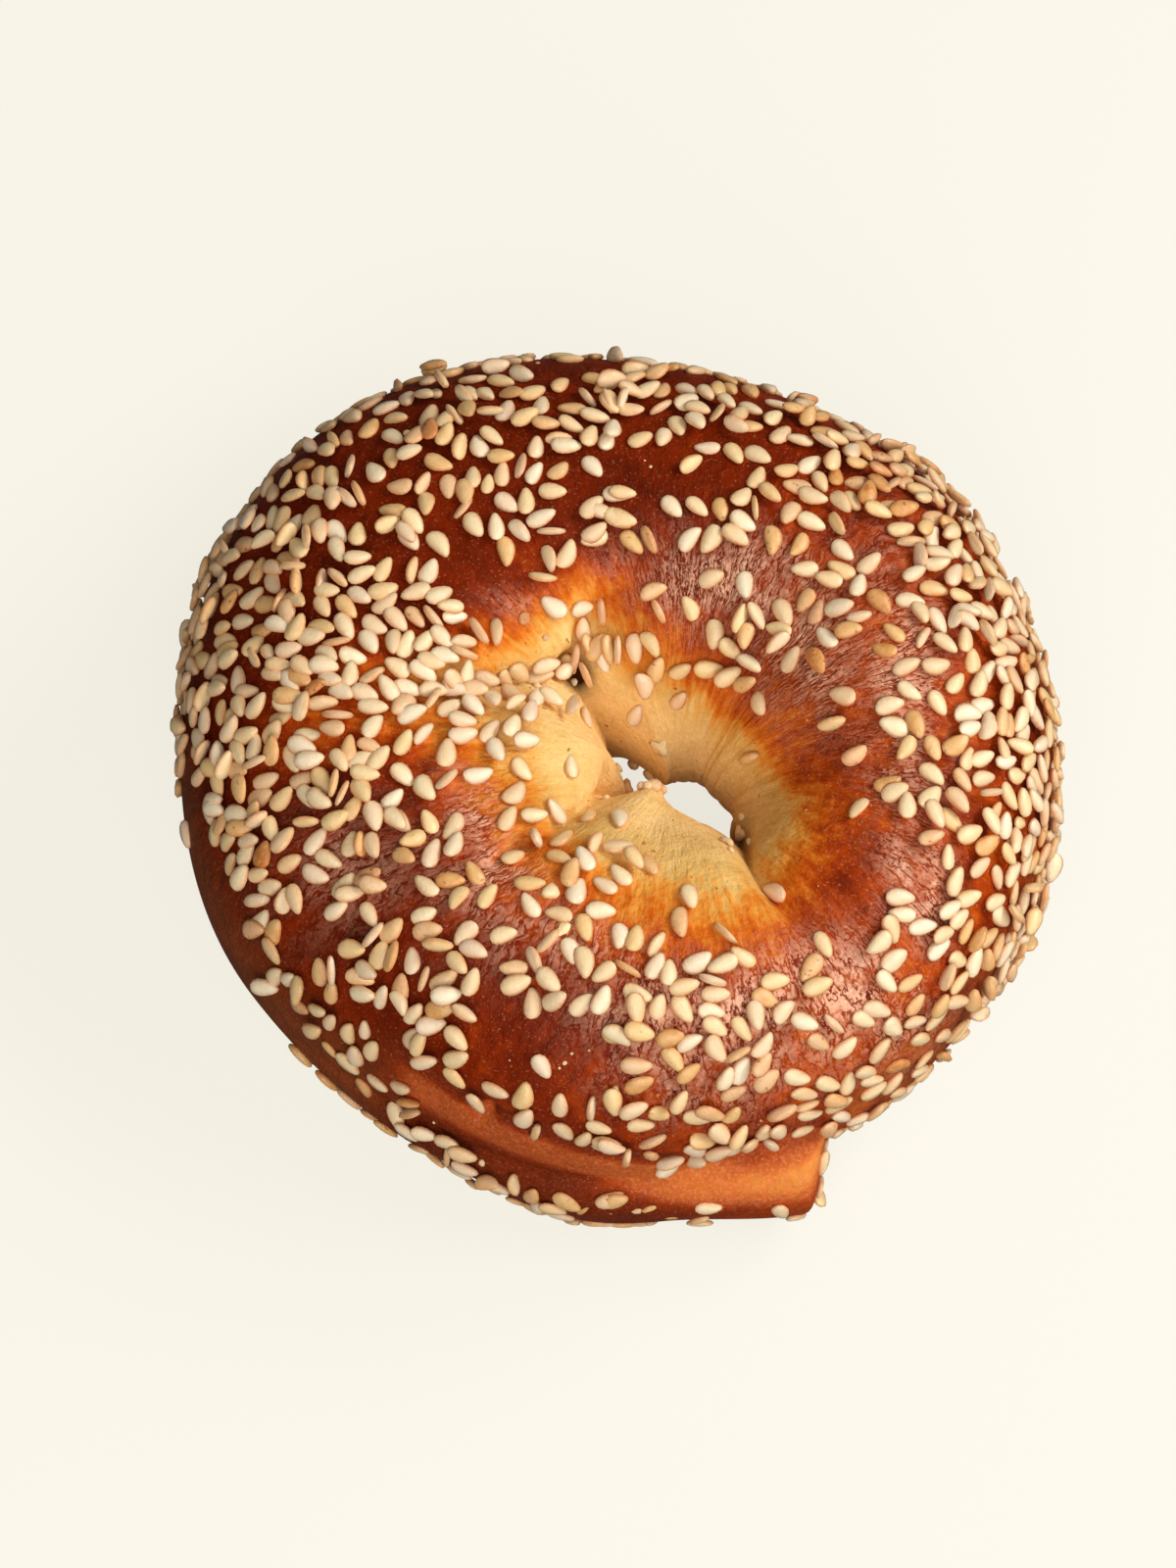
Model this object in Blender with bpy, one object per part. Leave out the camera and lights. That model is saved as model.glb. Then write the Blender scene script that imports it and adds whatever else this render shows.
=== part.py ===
"""A hand-rolled sesame bagel: one ring of baked dough with its sesame seeds fused to the crust.

The rope of dough closes on itself at the left of the ring. One end lies on top as a blunt
tongue that reaches the hole, and the other end shows as a lip beside it. A lower roll swells
out along the front, where the crust opened in the oven. The part rests on its flat foot.

Lengths are in millimetres, in a drawing whose z = 0 is the foot. The mesh is made in metres,
with its origin under the middle of the bagel.
"""

import bpy
import bmesh
import numpy as np
from mathutils import Matrix

MM = 0.001

# The ring, seen from above. The hole lies off the middle, because the joint is thick.
RING_RADIUS = 44.0
HOLE_CENTRE = np.array((6.2, -4.2))
HOLE_LENGTH = 15.4
HOLE_WIDTH = 6.4
HOLE_TURN = np.radians(-37)

# The middle of the finished bagel's outline, which becomes the origin.
MIDDLE = np.array((0.33, -1.2, 0.0))

# The ring's section: a flattened oval round a core line, cut off flat at the foot.
CORE_HEIGHT = 13.5
CREST_HEIGHT = 32.5
OVAL_DEPTH = 18.0
OUTER_POWER = 2.15
INNER_POWER = 2.05
FAR_WALL_EASE = 0.35
FOOT_ROUNDING = 1.8

# Swellings of the outline: direction in degrees, height, half width in degrees.
BULGES = {
    "upper_left": (136, 2.6, 30),
    "lower_left": (230, -1.2, 20),
    "left": (182, 0.5, 22),
    "lower_right": (316, 1.6, 26),
    "right": (10, 0.6, 26),
    "back": (100, -0.5, 26),
    "back_right": (50, 0.5, 12),
}

# The swell of the hand-rolled rope: for each count of waves round the ring, the height, the
# phase round the ring and the lean at which the wave is highest.
WAVES = {3: (0.45, 1.1, 0.6), 5: (0.35, -0.4, 2.4), 7: (0.25, 2.3, -1.0)}

# Creases where the rope folds on itself, as a line seen from above. Depth and width are the
# groove's, raised is how far the line's left side stands up, and fade_from is the share of
# the line after which the groove dies out.
CREASES = {
    "lip_over_tongue": {
        "line": [(-2.0, 2.3), (-7.4, 1.9), (-13.4, 1.3), (-19.4, -0.3), (-26.4, -3.7)],
        "depth": 5.0, "width": 1.5, "raised": -0.7, "fade_from": 0.35,
    },
    "lip_over_far_wall": {
        "line": [(-2.1, 2.3), (-2.7, 5.3), (-2.6, 8.5), (-0.2, 10.9), (4.6, 11.9)],
        "depth": 2.8, "width": 1.0, "raised": 1.6, "fade_from": 0.45,
    },
    "tongue_over_far_wall": {
        "line": [(-2.1, 2.3), (-0.2, 1.3), (1.4, -0.2), (3.4, -2.2)],
        "depth": 2.8, "width": 0.9, "raised": -1.3, "fade_from": 0.98,
    },
    "tongue_over_near_wall": {
        "line": [(3.4, -2.4), (0.9, -5.6), (-2.4, -9.8), (-7.0, -14.2), (-11.4, -17.6), (-16.0, -21.2)],
        "depth": 3.8, "width": 1.4, "raised": -1.4, "fade_from": 0.35,
    },
    "near_over_right_wall": {
        "line": [(10.2, -7.6), (12.4, -13.6), (16.0, -20.6), (19.8, -26.4), (23.4, -30.6)],
        "depth": 2.6, "width": 1.2, "raised": -1.1, "fade_from": 0.3,
    },
}
CREASE_SPREAD = 1.2
CREASE_EASING = 0.35
RAISE_REACH = 4.5
RAISE_EDGE = 0.5
LINE_BLEND = 0.8
CREASE_FLOOR = (3.0, 13.0)

# Round hollows, and swellings where the depth is negative.
HOLLOWS = {
    "beside_the_lip": {"at": (0.0, 8.0, 27.5), "radius": 3.2, "depth": 1.5},
    "where_three_folds_meet": {"at": (-2.2, 2.2, 25.0), "radius": 1.5, "depth": 3.0},
    "waist_of_the_hole": {"at": (2.2, -7.4, 20.0), "radius": 4.0, "depth": -1.6},
    "nick_in_the_roll": {"at": (-13.7, -37.0, 11.0), "radius": 1.5, "depth": 1.2},
    "press_at_the_back": {"at": (4.0, 30.0, 31.0), "radius": 8.0, "depth": 0.9},
}

# The lower roll along the front, and the groove above it. Each reach starts and ends its rise
# at a direction in degrees and adds a height; past the last direction the roll ends bluntly.
ROLL_HEIGHT = 6.5
ROLL_REACHES = {"start": (205, 235, 2.2), "front": (235, 262, 1.5), "corner": (268, 293, 3.0)}
ROLL_END = (290.0, 293.0)
GROOVE_HEIGHT = 13.4
GROOVE_WIDTH = 1.4
GROOVE_SHARE = 0.4

# Pleats that run down the inner slope, mostly at the right of the hole.
PLEATS = {17: 0.10, 29: 0.10, 43: 0.06}

# The dough's mesh: columns round the hole and rows round the section, closer together where the
# crust turns fast, as an angle in degrees, extra closeness there and half width.
COLUMNS = 92
ROWS = 25
CLOSER_COLUMNS = {"folds": (165, 0.9, 45), "end_of_the_roll": (291.5, 3.5, 4.0)}
CLOSER_ROWS = {"groove_over_the_roll": (0, 1.2, 22), "inner_slope": (130, 0.4, 40), "foot": (268, -0.45, 35)}

# The sesame seeds that are fused to the crust. The first ones placed are the largest. Width and
# thickness are shares of the length, and the part that is sunk is a share of the thickness.
SEED_COUNT = 180
LARGEST_SEED = 3.7
SMALLEST_SEED = 3.1
SEED_WIDTH = 0.58
SEED_THICKNESS = 0.34
SEED_SUNK = 0.25
SEED_TAPER = 0.6
SEED_SPACING = 4.5
LOWEST_SEED = 2.4
SEED_DRAWS = 20000
RANDOM_SEED = 11

# Where seeds are few, seen from above: middle, half width and half depth, share of seeds lost.
BARE_PATCHES = {
    "lip": ((-10.8, 11.8), (6.0, 4.0), 0.8),
    "behind_the_lip": ((3.2, 22.3), (6.0, 6.0), 0.9),
    "far_crest": ((12.0, 22.3), (5.0, 3.0), 0.8),
    "right_slope": ((19.2, -12.0), (4.5, 11.0), 0.9),
    "above_the_roll": ((-8.4, -35.0), (6.0, 5.0), 0.8),
}
NEAR_CLUSTER = ((-2.6, -17.5), (7.5, 3.2))

# Where seeds begin and end: the distance from the hole at which they set in, then the bare belt
# at the left, the bare top of the roll and its bare end, as directions in degrees and heights.
FUNNEL = (6.0, 12.5)
BELT_SIDES = ((165, 180), (232, 246))
BELT_HEIGHTS = ((5.0, 7.0), (22.0, 26.0))
ROLL_SIDES = ((232, 246), (292, 296))
ROLL_BARE = ((6.5, 8.5), (13.5, 15.5))
ROLL_END_SIDES = ((270, 276), (292, 296))
ROLL_END_BARE = ((-1.0, 0.0), (13.5, 15.5))

CRUST_COLOUR = (0.46, 0.17, 0.05, 1.0)
CRUST_ROUGHNESS = 0.45
SHARP_ANGLE = np.radians(50)


def smooth_step(low, high, value):
    share = np.clip((value - low) / (high - low), 0, 1)
    return share * share * (3 - 2 * share)


def smooth_floor(value, rounding):
    """value, but never under zero, with the bend to zero rounded off."""
    share = np.clip(0.5 + 0.5 * value / rounding, 0, 1)
    return value * share + rounding * share * (1 - share)


def turn_between(turn, other):
    return (turn - other + np.pi) % (2 * np.pi) - np.pi


def outer_reach(turn):
    """Distance from the hole's axis to the outline: where a ray leaves the ring's circle."""
    along = -(np.cos(turn) * HOLE_CENTRE[0] + np.sin(turn) * HOLE_CENTRE[1])
    reach = along + np.sqrt(along**2 - HOLE_CENTRE @ HOLE_CENTRE + RING_RADIUS**2)
    for direction, height, half_width in BULGES.values():
        away = turn_between(turn, np.radians(direction)) / np.radians(half_width)
        reach = reach + height * np.exp(-(away**2))
    return reach


def hole_reach(turn):
    """Distance from the hole's axis to the wall of its narrowest part, an ellipse."""
    half_length, half_width = HOLE_LENGTH / 2, HOLE_WIDTH / 2
    across = half_width * np.cos(turn - HOLE_TURN)
    along = half_length * np.sin(turn - HOLE_TURN)
    return half_length * half_width / np.hypot(across, along)


def smooth_line(corners, steps=6):
    """Points of a Catmull-Rom curve through the corners."""
    p = np.array(corners, float)
    p = np.concatenate([[2 * p[0] - p[1]], p, [2 * p[-1] - p[-2]]])
    t = np.arange(steps)[:, None] / steps
    spans = [
        0.5 * (2 * b + (c - a) * t + (2 * a - 5 * b + 4 * c - d) * t**2 + (3 * b - a - 3 * c + d) * t**3)
        for a, b, c, d in zip(p, p[1:], p[2:], p[3:])
    ]
    return np.concatenate([*spans, p[-2:-1]])


def to_line(x, y, line):
    """Distance from each point to the line, its signed side, and the share of the line's length there."""
    points = smooth_line(line)
    steps = np.diff(points, axis=0)
    lengths = np.hypot(*steps.T)
    starts = np.concatenate([[0], np.cumsum(lengths)]) / lengths.sum()
    distances, sides, shares = [], [], []
    for start, step, length, begun, ended in zip(points, steps, lengths, starts, starts[1:]):
        dx, dy = x - start[0], y - start[1]
        t = np.clip((dx * step[0] + dy * step[1]) / length**2, 0, 1)
        distances.append(np.hypot(dx - t * step[0], dy - t * step[1]))
        sides.append((step[0] * dy - step[1] * dx) / length)
        shares.append(begun + t * (ended - begun))
    nearest = np.min(distances, axis=0)
    weights = np.exp((nearest - distances) / LINE_BLEND)
    weights = weights / weights.sum(axis=0)
    return nearest, (weights * sides).sum(axis=0), (weights * shares).sum(axis=0)


def fold_relief(x, y, z):
    """How far the folds and hollows move the crust outwards at each point."""
    groove = np.zeros(np.shape(x))
    raised = np.zeros(np.shape(x))
    for crease in CREASES.values():
        distance, side, share = to_line(x, y, crease["line"])
        fade = (1 - smooth_step(crease["fade_from"], 1.0, share)) * (1 - CREASE_EASING * share)
        width = crease["width"] * (1 + CREASE_SPREAD * share)
        groove = np.maximum(groove, crease["depth"] * fade * np.exp(-distance / width))
        raised = raised + crease["raised"] * fade * side / (distance + RAISE_EDGE) * np.exp(-distance / RAISE_REACH)
    for hollow in HOLLOWS.values():
        dx, dy, dz = hollow["at"]
        away = ((x - dx) ** 2 + (y - dy) ** 2 + 0.3 * (z - dz) ** 2) / hollow["radius"] ** 2
        raised = raised - hollow["depth"] * np.exp(-away)
    return (raised - groove) * smooth_step(*CREASE_FLOOR, z)


def roll_relief(turn, lean, z):
    """The lower roll: a half-round swelling under a groove, which ends bluntly at the front's right."""
    direction = np.degrees(turn) % 360
    reach = sum(height * smooth_step(start, end, direction) for start, end, height in ROLL_REACHES.values())
    reach = reach * (1 - smooth_step(*ROLL_END, direction)) * (np.cos(lean) > 0)
    bulge = np.sqrt(np.clip(1 - ((z - ROLL_HEIGHT) / ROLL_HEIGHT) ** 2, 0, 1))
    groove = GROOVE_SHARE * np.exp(-np.abs(z - GROOVE_HEIGHT) / GROOVE_WIDTH)
    return reach * (bulge - groove)


def dough_point(turn, lean):
    """The crust at a turn about the hole and a lean about the core line, 0 outwards and 90 degrees up."""
    near, far = hole_reach(turn), outer_reach(turn)
    core, half_width = (near + far) / 2, (far - near) / 2
    half_height = np.where(np.sin(lean) > 0, CREST_HEIGHT - CORE_HEIGHT, OVAL_DEPTH)
    inner_power = INNER_POWER + FAR_WALL_EASE * np.sin(turn - HOLE_TURN - np.pi)
    power = np.where(np.cos(lean) > 0, OUTER_POWER, inner_power)
    sides = (np.abs(np.cos(lean)) / half_width) ** power + (np.abs(np.sin(lean)) / half_height) ** power
    reach = sides ** (-1 / power)

    def at(reach):
        out = core + reach * np.cos(lean)
        x = HOLE_CENTRE[0] + out * np.cos(turn)
        y = HOLE_CENTRE[1] + out * np.sin(turn)
        return x, y, CORE_HEIGHT + reach * np.sin(lean)

    x, y, z = at(reach)
    relief = fold_relief(x, y, z) + roll_relief(turn, lean, z)
    for waves, (height, phase, lean_phase) in WAVES.items():
        relief = relief + height * np.sin(waves * turn + phase) * np.cos(lean - lean_phase)
    inner_slope = np.clip(-np.cos(lean - 0.5), 0, 1) * (0.35 + 0.65 * np.cos(turn) ** 2 * (np.cos(turn) > 0))
    for waves, height in PLEATS.items():
        relief = relief + height * inner_slope * np.sin(waves * turn + 0.7 * waves)
    x, y, z = at(reach + relief)
    return np.stack([x, y, smooth_floor(z, FOOT_ROUNDING)], axis=-1)


def crust_frame(turn, lean, step=0.004):
    """A point of the crust, the two directions along it, its outward normal and its local area."""
    point = dough_point(turn, lean)
    around = dough_point(turn + step, lean) - dough_point(turn - step, lean)
    across = dough_point(turn, lean + step) - dough_point(turn, lean - step)
    normal = np.cross(around, across)
    area = np.linalg.norm(normal, axis=-1, keepdims=True)
    normal = normal / area
    around = around / np.linalg.norm(around, axis=-1, keepdims=True)
    return point, around, np.cross(normal, around), normal, area[..., 0]


def band(value, edges):
    """1 between the two edges, each of which is a pair that the change runs across, and 0 outside."""
    (low, low_end), (high, high_end) = edges
    return smooth_step(low, low_end, value) * (1 - smooth_step(high, high_end, value))


def patch(x, y, middle, size):
    return np.exp(-(((x - middle[0]) / size[0]) ** 2) - ((y - middle[1]) / size[1]) ** 2)


def seed_chance(turn, point):
    """The share of the seeds that stuck here: none on the side belt and the roll, few in the funnel."""
    x, y, z = np.moveaxis(point, -1, 0)
    direction = np.degrees(np.arctan2(y - MIDDLE[1], x - MIDDLE[0])) % 360
    chance = smooth_step(LOWEST_SEED, LOWEST_SEED + 0.5, z)
    chance = chance * (1 - band(direction, BELT_SIDES) * band(z, BELT_HEIGHTS))
    chance = chance * (1 - band(direction, ROLL_SIDES) * band(z, ROLL_BARE))
    chance = chance * (1 - band(direction, ROLL_END_SIDES) * band(z, ROLL_END_BARE))
    from_hole = np.hypot(x - HOLE_CENTRE[0], y - HOLE_CENTRE[1]) - hole_reach(turn)
    for middle, size, loss in BARE_PATCHES.values():
        chance = chance * (1 - loss * patch(x, y, middle, size))
    chance = chance * smooth_step(*FUNNEL, from_hole)
    return np.maximum(chance, patch(x, y, *NEAR_CLUSTER) * (z > CORE_HEIGHT))


def scatter_seeds():
    """Even, seeded places for the seeds: drawn by area and chance, each clear of the ones before it."""
    draw = np.random.default_rng(RANDOM_SEED)
    turn, lean, luck, heading = draw.random((4, SEED_DRAWS))
    turn, lean, heading = 2 * np.pi * turn, 2 * np.pi * lean, 2 * np.pi * heading
    point, around, across, normal, area = crust_frame(turn, lean)
    wanted = luck < seed_chance(turn, point) * area / area.max()
    kept = []
    for index in np.flatnonzero(wanted):
        if len(kept) == SEED_COUNT:
            break
        if not kept or np.linalg.norm(point[kept] - point[index], axis=1).min() > SEED_SPACING:
            kept.append(index)
    along = np.cos(heading)[:, None] * around + np.sin(heading)[:, None] * across
    return point[kept], along[kept], normal[kept]


def to_metres(points):
    return (points - MIDDLE) * MM


def crowd(turn, closer):
    """Even angles, moved so that they lie closer together or further apart where closer says."""
    fine = np.linspace(0, 2 * np.pi, 1441)
    closeness = np.ones(fine.size)
    for direction, extra, half_width in closer.values():
        away = turn_between(fine, np.radians(direction)) / np.radians(half_width)
        closeness = closeness + extra * np.exp(-(away**2))
    reached = np.concatenate([[0], np.cumsum((closeness[1:] + closeness[:-1]) / 2)])
    return np.interp(turn % (2 * np.pi), reached / reached[-1] * 2 * np.pi, fine)


def make_dough():
    """A torus whose points are moved to the crust."""
    bpy.ops.mesh.primitive_torus_add(
        major_segments=COLUMNS, minor_segments=ROWS, major_radius=2, minor_radius=1
    )
    dough = bpy.context.object
    dough.name = dough.data.name = "sesame_bagel"
    ring = np.array([vertex.co for vertex in dough.data.vertices])
    turn = np.arctan2(ring[:, 1], ring[:, 0])
    lean = np.arctan2(ring[:, 2], np.hypot(ring[:, 0], ring[:, 1]) - 2)
    turn = crowd(turn, CLOSER_COLUMNS)
    lean = crowd(lean, CLOSER_ROWS)
    crust = to_metres(dough_point(turn, lean))
    dough.data.vertices.foreach_set("co", crust.ravel())
    mesh = bmesh.new()
    mesh.from_mesh(dough.data)
    bmesh.ops.triangulate(mesh, faces=mesh.faces, quad_method="SHORT_EDGE")
    mesh.to_mesh(dough.data)
    mesh.free()
    return dough


def make_seed_mesh():
    """A seed one unit long: a few-sided ball, lying along X, that narrows towards +X."""
    mesh = bmesh.new()
    bmesh.ops.create_uvsphere(mesh, u_segments=5, v_segments=4, radius=0.5)
    for vertex in mesh.verts:
        height, side, along = vertex.co
        narrowing = 1 - SEED_TAPER * (along + 0.25)
        vertex.co = (along, -side * narrowing, height * narrowing)
    seed = bpy.data.meshes.new("sesame_seed")
    mesh.to_mesh(seed)
    mesh.free()
    return seed


def make_seeds():
    """The seeds, each turned to lie flat on the crust and sunk a little into it."""
    seeds = bpy.data.collections.new("sesame_seeds")
    bpy.context.scene.collection.children.link(seeds)
    shape = make_seed_mesh()
    points, alongs, normals = scatter_seeds()
    lengths = np.linspace(LARGEST_SEED, SMALLEST_SEED, len(points))
    for number, (point, along, normal, length) in enumerate(zip(points, alongs, normals, lengths)):
        thickness = SEED_THICKNESS * length
        across = np.cross(normal, along) * SEED_WIDTH * length
        middle = to_metres(point + normal * thickness * (0.5 - SEED_SUNK))
        axes = np.column_stack([along * length, across, normal * thickness]) * MM
        place = np.eye(4)
        place[:3, :3] = axes
        place[:3, 3] = middle
        seed = bpy.data.objects.new(f"seed_{number:03d}", shape)
        seed.matrix_world = Matrix(place.tolist())
        seeds.objects.link(seed)
    return seeds


def fuse(dough, seeds):
    """One union of the dough with all the seeds, which then leave the scene."""
    bpy.context.view_layer.update()
    union = dough.modifiers.new("seeds_on_the_crust", "BOOLEAN")
    union.operation = "UNION"
    union.operand_type = "COLLECTION"
    union.collection = seeds
    union.solver = "EXACT"
    bpy.context.view_layer.objects.active = dough
    bpy.ops.object.modifier_apply(modifier=union.name)
    for seed in list(seeds.objects):
        bpy.data.objects.remove(seed)
    bpy.data.collections.remove(seeds)


def keep_one_body(dough):
    """Drops loose scraps and the walls of sealed hollows: every shell but the largest."""
    mesh = bmesh.new()
    mesh.from_mesh(dough.data)
    unseen = set(mesh.verts)
    shells = []
    while unseen:
        shell = [unseen.pop()]
        for vertex in shell:
            for edge in vertex.link_edges:
                other = edge.other_vert(vertex)
                if other in unseen:
                    unseen.remove(other)
                    shell.append(other)
        shells.append(shell)
    shells.sort(key=len)
    for shell in shells[:-1]:
        bmesh.ops.delete(mesh, geom=shell, context="VERTS")
    mesh.to_mesh(dough.data)
    mesh.free()


def make_crust_material():
    crust = bpy.data.materials.new("crust")
    crust.use_nodes = True
    shader = crust.node_tree.nodes["Principled BSDF"]
    shader.inputs["Base Color"].default_value = CRUST_COLOUR
    shader.inputs["Roughness"].default_value = CRUST_ROUGHNESS
    shader.inputs["Metallic"].default_value = 0.0
    return crust


def main():
    for thing in list(bpy.data.objects):
        bpy.data.objects.remove(thing)
    dough = make_dough()
    fuse(dough, make_seeds())
    keep_one_body(dough)
    dough.data.materials.clear()
    dough.data.materials.append(make_crust_material())
    dough.data.shade_smooth()
    dough.data.set_sharp_from_angle(angle=SHARP_ANGLE)


main()
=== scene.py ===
import bpy
import numpy as np
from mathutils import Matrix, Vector


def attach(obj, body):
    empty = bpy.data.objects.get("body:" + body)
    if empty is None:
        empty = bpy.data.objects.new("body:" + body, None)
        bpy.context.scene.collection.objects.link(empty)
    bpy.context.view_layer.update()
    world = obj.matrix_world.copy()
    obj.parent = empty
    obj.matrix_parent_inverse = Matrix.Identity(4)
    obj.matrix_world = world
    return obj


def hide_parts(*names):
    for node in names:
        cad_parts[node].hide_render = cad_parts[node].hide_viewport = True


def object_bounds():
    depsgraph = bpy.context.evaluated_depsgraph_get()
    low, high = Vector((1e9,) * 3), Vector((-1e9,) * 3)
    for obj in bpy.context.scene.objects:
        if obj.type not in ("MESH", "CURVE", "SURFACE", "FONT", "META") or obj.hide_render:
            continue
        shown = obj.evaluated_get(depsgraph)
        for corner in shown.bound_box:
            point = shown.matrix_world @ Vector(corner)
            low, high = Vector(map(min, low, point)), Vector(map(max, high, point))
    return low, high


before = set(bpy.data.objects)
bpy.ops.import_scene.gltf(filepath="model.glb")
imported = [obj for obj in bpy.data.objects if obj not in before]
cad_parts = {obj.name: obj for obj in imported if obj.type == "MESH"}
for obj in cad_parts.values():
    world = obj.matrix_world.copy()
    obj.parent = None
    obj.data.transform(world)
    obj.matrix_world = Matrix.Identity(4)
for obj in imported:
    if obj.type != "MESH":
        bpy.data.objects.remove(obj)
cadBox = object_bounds()
print("frame loaded")

# The photo's own frame, and the camera that saw it: 68 degrees above the table, straight from the front.
photo = {
    "width": 1200,  # pixels
    "height": 1600,
    "heightSeen": 0.160,  # metres across the frame's height, at the target
    "distance": 0.45,
    "elevation": 68.0,
    "target": (-0.00293, -0.0018, 0.015),
}

# Everything about the dough is in millimetres, in a drawing whose z = 0 is the table.
dough = {
    "columns": 440,  # grid points round the ring
    "rows": 208,  # and round its section
    "ringRadius": 44.0,
    "hole": (6.2, -4.2),
    "holeLength": 15.4,
    "holeWidth": 6.4,
    "holeTurn": -37.0,  # degrees
    "middle": (0.33, -1.2, 0.0),  # becomes the origin
    "coreHeight": 13.5,  # of the oval's widest line
    "crestHeight": 32.5,
    "ovalDepth": 18.0,  # how far the oval would reach under its widest line
    "outerPower": 2.15,  # 2 is an ellipse, more is fuller
    "innerPower": 2.05,
    "farWallEase": 0.35,  # how much gentler the far wall slopes, and fuller the near one is
    "footRounding": 1.8,
    "footHollow": 0.45,  # how far the middle of the foot arches off the table
    "footDepth": (-1.8, -4.0),  # how far under the table the oval would reach where the arch sets in
    "pleatLean": 0.5,  # the pleats are highest on the inner slope, this far from level
    "pleatShare": 0.35,  # how high they are away from the right wall
    "pleatPhase": 0.7,
    # where the grid lies closer: direction, how much closer and half width, in degrees
    "closerColumns": [(165, 0.9, 45), (291.5, 2.5, 4.0)],
    "closerRows": [(0, 0.5, 25), (130, 0.5, 45), (268, -0.55, 40)],
}

# Swellings of the outline: direction in degrees, height, half width in degrees.
bulges = {
    "upperLeft": (136, 2.6, 30),
    "lowerLeft": (230, -1.2, 20),
    "left": (182, 0.5, 22),
    "lowerRight": (316, 1.6, 26),
    "right": (10, 0.6, 26),
    "back": (100, -0.5, 26),
    "backRight": (50, 0.5, 12),
}

# The swell of the hand-rolled rope: waves round the ring, height, phase, lean of the highest part.
waves = [(3, 0.45, 1.1, 0.6), (5, 0.35, -0.4, 2.4), (7, 0.25, 2.3, -1.0)]

# Creases, as lines seen from above: depth and width of the groove, how far the left side stands
# up, and the share of the line after which the groove dies out.
creases = {
    "lipOverTongue": {
        "line": [(-3.6, 4.6), (-7.6, 2.9), (-13.4, 1.4), (-19.4, -0.3), (-26.4, -3.7)],
        "depth": 5.0, "width": 1.5, "raised": -0.7, "fadeFrom": 0.35,
    },
    "lipOverFarWall": {
        "line": [(-3.2, 4.6), (-2.8, 6.4), (-2.6, 8.5), (-0.2, 10.9), (4.6, 11.9)],
        "depth": 2.8, "width": 1.0, "raised": 1.6, "fadeFrom": 0.45,
    },
    "tongueOverFarWall": {
        "line": [(-3.2, 4.6), (-0.9, 2.4), (1.2, 0.3), (3.4, -2.2)],
        "depth": 3.4, "width": 0.8, "raised": -1.3, "fadeFrom": 0.98,
    },
    "tongueOverNearWall": {
        "line": [(3.4, -2.4), (0.9, -5.6), (-2.4, -9.8), (-7.0, -14.2), (-11.4, -17.6), (-16.0, -21.2)],
        "depth": 3.8, "width": 1.4, "raised": -1.4, "fadeFrom": 0.35,
    },
    "nearOverRightWall": {
        "line": [(11.0, -8.0), (12.0, -14.0), (14.2, -19.6), (17.6, -24.0), (21.0, -27.6), (24.4, -31.0)],
        "depth": 3.4, "width": 1.0, "raised": -1.7, "fadeFrom": 0.35,
    },
}

# What the creases and hollows have in common, in mm where it is a length.
creaseStyle = {
    "spread": 1.2,  # how much wider a groove gets along its line
    "easing": 0.35,  # how much shallower
    "raiseReach": 4.5,  # how far from the groove its raised side falls off
    "raiseEdge": 0.5,
    "blend": 0.8,  # how softly one stretch of a line takes over from the next
    "floor": (3.0, 13.0),  # heights between which the folds set in
    "squat": 0.3,  # how little height counts in a hollow's distance
}

# Round hollows: place, radius, depth. A negative depth is a swelling.
hollows = {
    "besideTheLip": ((0.0, 8.0, 27.5), 3.2, 1.5),
    "whereThreeFoldsMeet": ((-3.6, 5.2, 23.5), 1.4, 5.0),
    "waistOfTheHole": ((2.2, -7.4, 20.0), 4.0, -1.6),
    "nickInTheRoll": ((-12.8, -40.0, 20.6), 1.0, 1.8),
    "pressAtTheBack": ((4.0, 30.0, 31.0), 8.0, 0.9),
    "lobeOfTheFarWall": ((4.0, 1.4, 13.0), 3.2, -4.0),
    "lobeOfTheRightWall": ((13.4, -8.2, 15.0), 3.2, -2.5),
    "backOfTheTongue": ((0.4, -5.0, 20.0), 2.4, 2.5),
    "rimOfTheNearWall": ((3.4, -8.4, 24.5), 3.0, -1.1),
    "cornerOfTheNearWall": ((10.0, -12.5, 26.0), 3.0, 0.9),
    "knobOfTheFarWall": ((4.0, -0.9, 15.5), 1.4, -2.6),
}

# The lower roll along the front. A reach rises between two directions in degrees, by a height.
roll = {
    "height": 6.5,
    "reaches": [(205, 235, 2.2), (235, 262, 1.5), (268, 293, 3.0)],
    "end": (287.5, 294.0),
    "grooveWidth": 1.3,
    "grooveShare": 0.34,
    # direction in degrees, and the groove's height there
    "groove": [(215, 24.5), (229, 23.2), (240, 22.0), (252, 20.5), (264, 17.6), (274, 14.6), (282, 13.4)],
}
pleats = [(17, 0.10), (29, 0.10), (43, 0.06)]  # count round the hole, height


def smoothStep(low, high, value):
    # 0 up to low, 1 from high, and an S curve between
    share = np.clip((value - low) / (high - low), 0, 1)
    return share * share * (3 - 2 * share)


def band(value, low, high):
    # 1 between two soft edges, each a pair of values
    return smoothStep(*low, value) * (1 - smoothStep(*high, value))


def smoothFloor(value, rounding):
    # the value, never under zero, with the bend rounded off
    share = np.clip(0.5 + 0.5 * value / rounding, 0, 1)
    return value * share + rounding * share * (1 - share)


def turnBetween(turn, other):
    # the smaller angle from one turn to the other
    return (turn - other + np.pi) % (2 * np.pi) - np.pi


def hill(away):
    # a bell curve: 1 in the middle, falling off with the square of the distance
    return np.exp(-np.square(away))


def patchHill(x, y, place, size):
    # a bell curve over a patch seen from above, with a half width and a half depth
    return hill((x - place[0]) / size[0]) * hill((y - place[1]) / size[1])


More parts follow.
